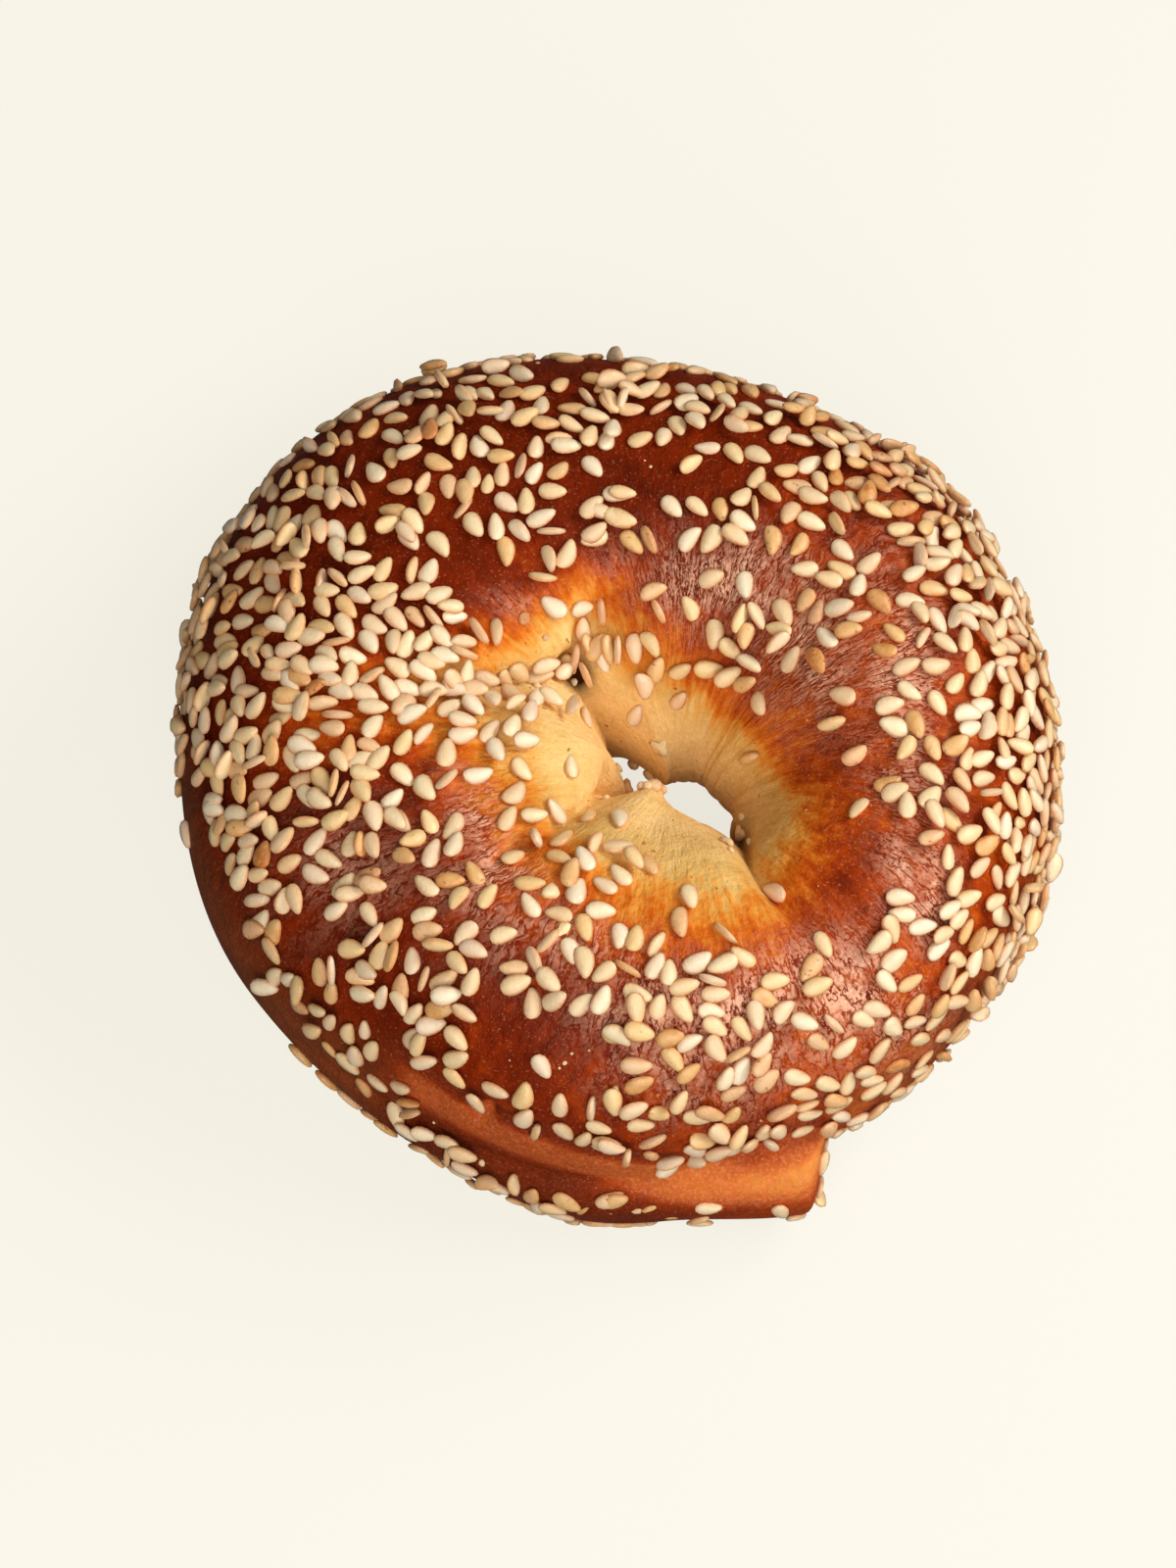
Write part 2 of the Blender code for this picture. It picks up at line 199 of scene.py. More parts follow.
def outerReach(turn):
    # where a ray from the hole's axis leaves the ring's circle, plus a hill for each bulge
    hx, hy = dough["hole"]
    along = -(np.cos(turn) * hx + np.sin(turn) * hy)
    reach = along + np.sqrt(along**2 - hx**2 - hy**2 + dough["ringRadius"] ** 2)
    for direction, height, halfWidth in bulges.values():
        reach = reach + height * hill(turnBetween(turn, np.radians(direction)) / np.radians(halfWidth))
    return reach


def holeReach(turn):
    # the polar form of an ellipse: half length times half width over the turned diagonal
    halfLength, halfWidth = dough["holeLength"] / 2, dough["holeWidth"] / 2
    turned = turn - np.radians(dough["holeTurn"])
    return halfLength * halfWidth / np.hypot(halfWidth * np.cos(turned), halfLength * np.sin(turned))


def smoothLine(corners, steps=6):
    # cubics through the corners: the slope at each is half the step between its two neighbours
    p = np.array(corners, float)
    p = np.concatenate([[2 * p[0] - p[1]], p, [2 * p[-1] - p[-2]]])
    t = np.arange(steps)[:, None] / steps
    spans = [
        0.5 * (2 * b + (c - a) * t + (2 * a - 5 * b + 4 * c - d) * t**2 + (3 * b - a - 3 * c + d) * t**3)
        for a, b, c, d in zip(p, p[1:], p[2:], p[3:])
    ]
    return np.concatenate([*spans, p[-2:-1]])


def toLine(x, y, line):
    # distance to the nearest stretch of the line, the signed side and the share of its length there
    points = smoothLine(line)
    steps = np.diff(points, axis=0)
    lengths = np.hypot(*steps.T)
    starts = np.concatenate([[0], np.cumsum(lengths)]) / lengths.sum()
    distances, sides, shares = [], [], []
    for start, step, length, begun, ended in zip(points, steps, lengths, starts, starts[1:]):
        dx, dy = x - start[0], y - start[1]
        t = np.clip((dx * step[0] + dy * step[1]) / length**2, 0, 1)
        distances.append(np.hypot(dx - t * step[0], dy - t * step[1]))
        sides.append((step[0] * dy - step[1] * dx) / length)
        shares.append(begun + t * (ended - begun))
    nearest = np.min(distances, axis=0)
    weights = np.exp((nearest - distances) / creaseStyle["blend"])
    weights = weights / weights.sum(axis=0)
    return nearest, (weights * sides).sum(axis=0), (weights * shares).sum(axis=0)


def foldRelief(x, y, z):
    # grooves that fall off with distance, sides that stand up beside them, and round hollows
    groove = np.zeros(np.shape(x))
    raised = np.zeros(np.shape(x))
    for crease in creases.values():
        distance, side, share = toLine(x, y, crease["line"])
        fade = (1 - smoothStep(crease["fadeFrom"], 1.0, share)) * (1 - creaseStyle["easing"] * share)
        width = crease["width"] * (1 + creaseStyle["spread"] * share)
        groove = np.maximum(groove, crease["depth"] * fade * np.exp(-distance / width))
        lift = crease["raised"] * fade * side / (distance + creaseStyle["raiseEdge"])
        raised = raised + lift * np.exp(-distance / creaseStyle["raiseReach"])
    for (hx, hy, hz), radius, depth in hollows.values():
        away = ((x - hx) ** 2 + (y - hy) ** 2 + creaseStyle["squat"] * (z - hz) ** 2) / radius**2
        raised = raised - depth * np.exp(-away)
    return (raised - groove) * smoothStep(*creaseStyle["floor"], z)


def rollRelief(turn, lean, z):
    # a half-round swelling under a groove, which ends bluntly
    direction = np.degrees(turn) % 360
    reach = sum(height * smoothStep(start, end, direction) for start, end, height in roll["reaches"])
    reach = reach * (1 - smoothStep(*roll["end"], direction)) * (np.cos(lean) > 0)
    bulge = np.sqrt(np.clip(1 - ((z - roll["height"]) / roll["height"]) ** 2, 0, 1))
    away = np.abs(z - np.interp(direction, *zip(*roll["groove"])))
    groove = roll["grooveShare"] * np.exp(-away / roll["grooveWidth"])
    return reach * (bulge - groove)


def doughPoint(turn, lean):
    # a power oval round the core line, moved in and out by folds, roll, waves and pleats, with a flat foot
    near, far = holeReach(turn), outerReach(turn)
    core, halfWidth = (near + far) / 2, (far - near) / 2
    halfHeight = np.where(np.sin(lean) > 0, dough["crestHeight"] - dough["coreHeight"], dough["ovalDepth"])
    fromHole = turn - np.radians(dough["holeTurn"])
    innerPower = dough["innerPower"] + dough["farWallEase"] * np.sin(fromHole - np.pi)
    power = np.where(np.cos(lean) > 0, dough["outerPower"], innerPower)
    sides = (np.abs(np.cos(lean)) / halfWidth) ** power + (np.abs(np.sin(lean)) / halfHeight) ** power
    reach = sides ** (-1 / power)

    def at(reach):
        # the place this far from the core line
        out = core + reach * np.cos(lean)
        x = dough["hole"][0] + out * np.cos(turn)
        y = dough["hole"][1] + out * np.sin(turn)
        return x, y, dough["coreHeight"] + reach * np.sin(lean)

    x, y, z = at(reach)
    relief = foldRelief(x, y, z) + rollRelief(turn, lean, z)
    for count, height, phase, leanPhase in waves:
        relief = relief + height * np.sin(count * turn + phase) * np.cos(lean - leanPhase)
    least = dough["pleatShare"]
    rightward = np.cos(turn) ** 2 * (np.cos(turn) > 0)
    innerSlope = np.clip(-np.cos(lean - dough["pleatLean"]), 0, 1) * (least + (1 - least) * rightward)
    for count, height in pleats:
        relief = relief + height * innerSlope * np.sin(count * turn + dough["pleatPhase"] * count)
    x, y, z = at(reach + relief)
    low = smoothStep(*dough["footDepth"], z) * dough["footHollow"]
    return np.stack([x, y, smoothFloor(z, dough["footRounding"]) + low], axis=-1)


def crustFrame(turn, lean, step=0.02):
    # the point, the way round the ring from its neighbours, the outward normal as the cross product of
    # that and the way round the section, and the local area
    point = doughPoint(turn, lean)
    around = doughPoint(turn + step, lean) - doughPoint(turn - step, lean)
    across = doughPoint(turn, lean + step) - doughPoint(turn, lean - step)
    normal = np.cross(around, across)
    area = np.linalg.norm(normal, axis=-1, keepdims=True)
    normal = normal / area
    around = around / np.linalg.norm(around, axis=-1, keepdims=True)
    return point, around, normal, area[..., 0]


def toMetres(points):
    # the drawing's millimetres, moved so that the middle is the origin
    return (points - np.array(dough["middle"])) * 0.001


def crowd(turn, closer):
    # even angles moved so that their closeness follows a sum of hills
    fine = np.linspace(0, 2 * np.pi, 1441)
    closeness = np.ones(fine.size)
    for direction, extra, halfWidth in closer:
        closeness = closeness + extra * hill(turnBetween(fine, np.radians(direction)) / np.radians(halfWidth))
    reached = np.concatenate([[0], np.cumsum((closeness[1:] + closeness[:-1]) / 2)])
    return np.interp(turn % (2 * np.pi), reached / reached[-1] * 2 * np.pi, fine)


def boxCorners():
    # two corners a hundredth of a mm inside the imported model's box, which nothing may leave
    return np.array(cadBox[0]) + 1e-5, np.array(cadBox[1]) - 1e-5


def insideBox(points):
    # points in metres, pushed into the box one by one
    return np.clip(points, *boxCorners())


def meshPiece(name, points, faces, values=None):
    # points in metres, faces as one array of corner numbers for each kind, and a value for each point
    mesh = bpy.data.meshes.new(name)
    corners = np.concatenate([kind.ravel() for kind in faces])
    sizes = np.concatenate([np.full(len(kind), kind.shape[1]) for kind in faces])
    mesh.vertices.add(len(points))
    mesh.vertices.foreach_set("co", np.ascontiguousarray(points, dtype=np.float32).ravel())
    mesh.loops.add(len(corners))
    mesh.loops.foreach_set("vertex_index", corners.astype(np.int32))
    mesh.polygons.add(len(sizes))
    mesh.polygons.foreach_set("loop_start", (np.cumsum(sizes) - sizes).astype(np.int32))
    mesh.update(calc_edges=True)
    mesh.validate()
    mesh.shade_smooth()
    for key, value in (values or {}).items():
        kind, field = ("FLOAT_VECTOR", "vector") if np.ndim(value) == 2 else ("FLOAT", "value")
        mesh.attributes.new(key, kind, "POINT").data.foreach_set(field, np.asarray(value, np.float32).ravel())
    piece = bpy.data.objects.new(name, mesh)
    bpy.context.collection.objects.link(piece)
    return piece


def ringFaces(columns, rows):
    # quads of a grid that closes on itself both ways
    i, j = np.meshgrid(np.arange(columns), np.arange(rows), indexing="ij")
    i, j = i.ravel(), j.ravel()
    k, m = (i + 1) % columns, (j + 1) % rows
    return np.stack([i * rows + j, k * rows + j, k * rows + m, i * rows + m], axis=1)


# How brown each part of the crust is, 0 pale to 1 mahogany.
baking = {
    # direction seen from the hole in degrees, and mm from the hole at which the crust is half brown
    "halfBrown": [
        (0, 5.6), (20, 5.5), (40, 5.1), (55, 4.9), (67, 5.2), (80, 5.7), (95, 6.9), (110, 8.2),
        (125, 8.8), (150, 10.8), (180, 14.6), (213, 16.5), (245, 18.3), (272, 18.8), (293, 18.5),
        (305, 14.0), (312, 11.5), (325, 9.2), (335, 7.8), (348, 6.3), (360, 5.6),
    ],
    # share of that distance, and how brown it is there; then mm past it, and how brown
    "rise": [(0.0, 0.0), (0.35, 0.05), (0.6, 0.16), (0.8, 0.33), (1.0, 0.48)],
    "past": [(0.0, 0.48), (2.5, 0.60), (5.0, 0.72), (8.0, 0.83), (14.0, 0.92)],
    # direction seen from the hole, and the brown that the crust doesn't pass there
    "darkest": [
        (0, 0.69), (30, 0.68), (55, 0.73), (75, 0.84), (100, 0.88), (150, 0.88), (225, 0.84),
        (262, 0.76), (280, 0.70), (295, 0.63), (305, 0.63), (320, 0.70), (340, 0.70), (360, 0.69),
    ],
    "darkestEase": 0.06,
    "foldPale": 0.72,  # how much paler the dough is that a fold covered
    "foldReach": 4.2,
    "foldFade": (0.35, 0.95),  # shares of the crease between which that ends
    "foldHeights": (14, 20),
    "paleHeights": (18, 25),  # heights between which the pale places set in
    "rollSides": ((222, 232), (292, 294)),  # directions between which the roll starts and ends
    "rollBrown": [(225, 0.88), (255, 0.87), (265, 0.84), (272, 0.74), (280, 0.66), (287, 0.62), (292, 0.63)],
    "underRoll": 0.06,  # how much browner the roll's lower side is
    "rollRimHighlight": 0.27,  # painted highlight: how much paler it is just under its groove
    "rimHeights": ((-7.4, -4.4), (-1.6, -0.7)),  # from the groove
    "topEdge": (-0.6, 0.8),  # from the groove: where the roll's own brown ends
    "sideEdge": 4.0,  # mm over which the roll's top turns to its side
    "rollMiddle": 7.5,  # height at the roll's right end over which its side turns to its top
    "rollMiddleRise": 0.4,  # how much of the groove's rise to the left that follows
    "footBrown": 0.6,
    "footHeights": (0.6, 3.5),
    "flankHeights": (17, 25),  # the painted dull sheen lies on the outer side under these
    "aboveFoot": (0.6, 4.0),  # heights over which the foot's own streaks end
    "plainEdge": 3.0,  # mm above the groove over which the roll's plain crust turns streaky
    "deepSquat": 0.5,  # how little height counts in the distance to a place of painted shade
    "shineHeights": (10, 22),
}

# Places that baked paler, seen from above: middle, half width and half depth, how much less brown.
palePlaces = {
    "besideTheTongue": ((-18.5, -5.0), (10.5, 3.6), 0.28),
    "leftOfTheLip": ((-24.0, 1.5), (8.0, 4.2), 0.26),
    "farLeft": ((-31.0, -4.0), (5.0, 5.0), 0.26),
}

# Deep places with painted shade, dark where shade falls: middle, radius, how much darker.
paintedShadePlaces = {
    "pitBetweenTheFolds": ((-3.7, 5.9, 22.0), 1.5, 1.3),
    "cornerOfTheHole": ((12.8, -11.0, 17.5), 3.4, 0.75),
    "rightOfTheCorner": ((15.0, -13.0, 22.0), 4.5, 0.22),
    "underTheRightWall": ((15.6, -9.0, 20.0), 4.5, 0.20),
    "underTheLip": ((-9.0, 1.9, 24.5), 1.3, 0.35),
}


def bakeMap(turn, lean, point):
    # browning grows with the distance from the hole, is held back along folds, and has its own
    # level on the roll and the foot, with a painted highlight just under the roll's groove; also the painted
    # shade of the deep creases and the hole, how streaky it is, and how far down the outer side the painted
    # dull sheen lies
    x, y, z = np.moveaxis(point, -1, 0)
    fromHole = np.hypot(x - dough["hole"][0], y - dough["hole"][1]) - holeReach(turn)
    direction = np.degrees(turn) % 360
    halfBrown = np.interp(direction, *zip(*baking["halfBrown"]))
    nearer = np.interp(fromHole / halfBrown, *zip(*baking["rise"]))
    brown = np.where(fromHole < halfBrown, nearer, np.interp(fromHole - halfBrown, *zip(*baking["past"])))
    darkest = np.interp(direction, *zip(*baking["darkest"]))
    brown = brown - smoothFloor(brown - darkest, baking["darkestEase"])
    for name in ("lipOverTongue", "lipOverFarWall"):
        distance, _, along = toLine(x, y, creases[name]["line"])
        covered = hill(distance / baking["foldReach"]) * (1 - smoothStep(*baking["foldFade"], along))
        brown = brown * (1 - baking["foldPale"] * covered * smoothStep(*baking["foldHeights"], z))
    upper = smoothStep(*baking["paleHeights"], z)
    for place, size, less in palePlaces.values():
        brown = brown - less * patchHill(x, y, place, size) * upper
    outside = np.cos(lean) > 0
    alongRoll = band(direction, *baking["rollSides"]) * outside
    groove = np.interp(direction, *zip(*roll["groove"]))
    low = baking["rollMiddle"] + baking["rollMiddleRise"] * (groove - roll["groove"][-1][1])
    high = low + baking["sideEdge"]
    topFrom, topTo = baking["topEdge"]
    rollTop = alongRoll * band(z, (low, high), (groove + topFrom, groove + topTo))
    rollSide = alongRoll * (1 - smoothStep(low, high, z))
    # a painted highlight just under the roll's groove
    rollRimHighlight = alongRoll * band(z - groove, *baking["rimHeights"])
    rollBrown = np.interp(direction, *zip(*baking["rollBrown"]))
    brown = brown + (rollBrown - baking["rollRimHighlight"] * rollRimHighlight - brown) * rollTop
    brown = brown + (rollBrown + baking["underRoll"] - brown) * rollSide
    foot = 1 - smoothStep(*baking["footHeights"], z)
    brown = brown + (baking["footBrown"] - brown) * foot
    # painted shade in the deep creases and the hole, from the nearest shaded place
    deep = np.zeros(x.shape)
    for (px, py, pz), radius, darker in paintedShadePlaces.values():
        away = np.sqrt((x - px) ** 2 + (y - py) ** 2 + baking["deepSquat"] * (z - pz) ** 2) / radius
        deep = np.maximum(deep, darker * hill(away))
    aboveFoot = smoothStep(*baking["aboveFoot"], z)
    plain = 1 - smoothStep(groove, groove + baking["plainEdge"], z)
    streaky = 1 - alongRoll * plain * aboveFoot
    # where the painted dull sheen lies: low on the outer side, off the roll and above the foot
    flank = outside * (1 - alongRoll) * (1 - smoothStep(*baking["flankHeights"], z)) * aboveFoot
    return brown, deep, streaky, flank


def shineMap(point):
    # the highest of the shiny patches' hills, fading out below the upper half
    x, y, z = np.moveaxis(point, -1, 0)
    shine = np.zeros(x.shape)
    for place, size, much in shinyPatches.values():
        shine = np.maximum(shine, much * patchHill(x, y, place, size))
    return shine * smoothStep(*baking["shineHeights"], z)


def makeCrust():
    # a grid of turns and leans carried to the dough's surface
    turn = crowd(np.arange(dough["columns"]) / dough["columns"] * 2 * np.pi, dough["closerColumns"])
    lean = crowd(np.arange(dough["rows"]) / dough["rows"] * 2 * np.pi, dough["closerRows"])
    turn, lean = np.meshgrid(turn, lean, indexing="ij")
    point, _, normal, _ = crustFrame(turn, lean)
    brown, deep, streaky, flank = bakeMap(turn, lean, point)
    values = {
        "brown": brown.ravel(),
        "deep": deep.ravel(),
        "streaky": streaky.ravel(),
        "flank": flank.ravel(),
        "sectionWay": np.stack([np.cos(lean), np.sin(lean), 0 * lean], axis=-1).reshape(-1, 3),
        "shine": shineMap(point).ravel(),
    }
    flat = insideBox(toMetres(point).reshape(-1, 3))
    piece = meshPiece("crust", flat, [ringFaces(dough["columns"], dough["rows"])], values)
    surface = {"point": point, "normal": normal, "turn": turn, "lean": lean}
    return piece, surface


# Sesame seeds: their shape, how they lie, and how close.
seeds = {
    "around": 8,  # points round a seed
    "rings": (0.05, 0.18, 0.36, 0.56, 0.77, 0.93),  # shares of its length
    "length": (2.75, 3.3),  # mm, least and most
    "width": (0.62, 0.74),  # shares of the length
    "thickness": (0.23, 0.30),  # shares of the length too
    "sunk": (0.14, 0.32),  # share of its thickness that is in the crust
    "roundEnd": 1.15,  # how wide the round end is, and how much narrower the tip
    "narrowing": 0.52,
    "flatness": (0.42, 0.6),  # lower is flatter with steeper edges, along the seed and across it
    "small": 0.8,  # how long a seed marked as small is
    "onEdge": 0.10,  # share that stands on its edge
    "edgeRoll": (0.9, 1.35),  # radians that such a seed is rolled over
    "roll": 0.12,  # radians that any seed is rolled over
    "pitch": (0.09, 0.16),  # radians that any seed is pitched, and more for one on top of another
    "bend": 0.04,  # how far its tips bend aside, as a share of its length
    "toneCurve": (1.2, 0.92),  # a power over 1 favours pale seeds; the brownest usual tone
    "tones": {"p": (0.0, 0.15), "t": (0.8, 0.92), "g": (0.95, 1.0)},  # 0 pale to 1 golden brown
    "most": 2060,  # seeds
    "draws": 60000,  # places tried
    "footShare": 0.22,  # how many seeds the foot has against the sides
    "footHeights": (1.0, 4.0),  # mm over which they grow to the full number
    "funnelEdge": (14.0, 18.0),  # mm from the hole, from none to all
    "creaseClear": 3.0,  # mm kept clear by the near wall's crease
    "thirds": (-1.05, 0.0, 1.0),  # mm along a seed: three places that stand for it
    "turnsTried": (0.0, 1.05, 2.1),  # headings tried at a place, past the drawn one
    "gap": 1.5,  # mm between the thirds of two seeds
    "touch": 1.25,  # seeds with thirds closer than this lie one on the other
    "gapReach": 16,  # mm squared: seeds with middles farther apart aren't too close
    "touchReach": 10,  # and these don't touch
    "topLayer": 2,
    "step": 0.62,  # how far the upper one is lifted, in thicknesses
    "pile": (2.2, 1.4, 1.5),  # at the main fold: reach and height in mm, and the turn to the camera
    "pileEnd": (0.45, 0.8),  # share of the fold's length over which the pile ends
    "flattestView": 0.25,  # headings are laid on no flatter crust than this
    "seenFrom": 0.30,  # crust that faces the photo more than this has only the seeds listed below,
    # but for two crowded sides: direction from and to, how far up that reaches there, a closer gap
    "crowded": [((-36, -24), (48, 62), 0.70, 0.82), ((140, 150), (192, 200), 0.97, 0.92)],
    "randomSeed": 5,
}

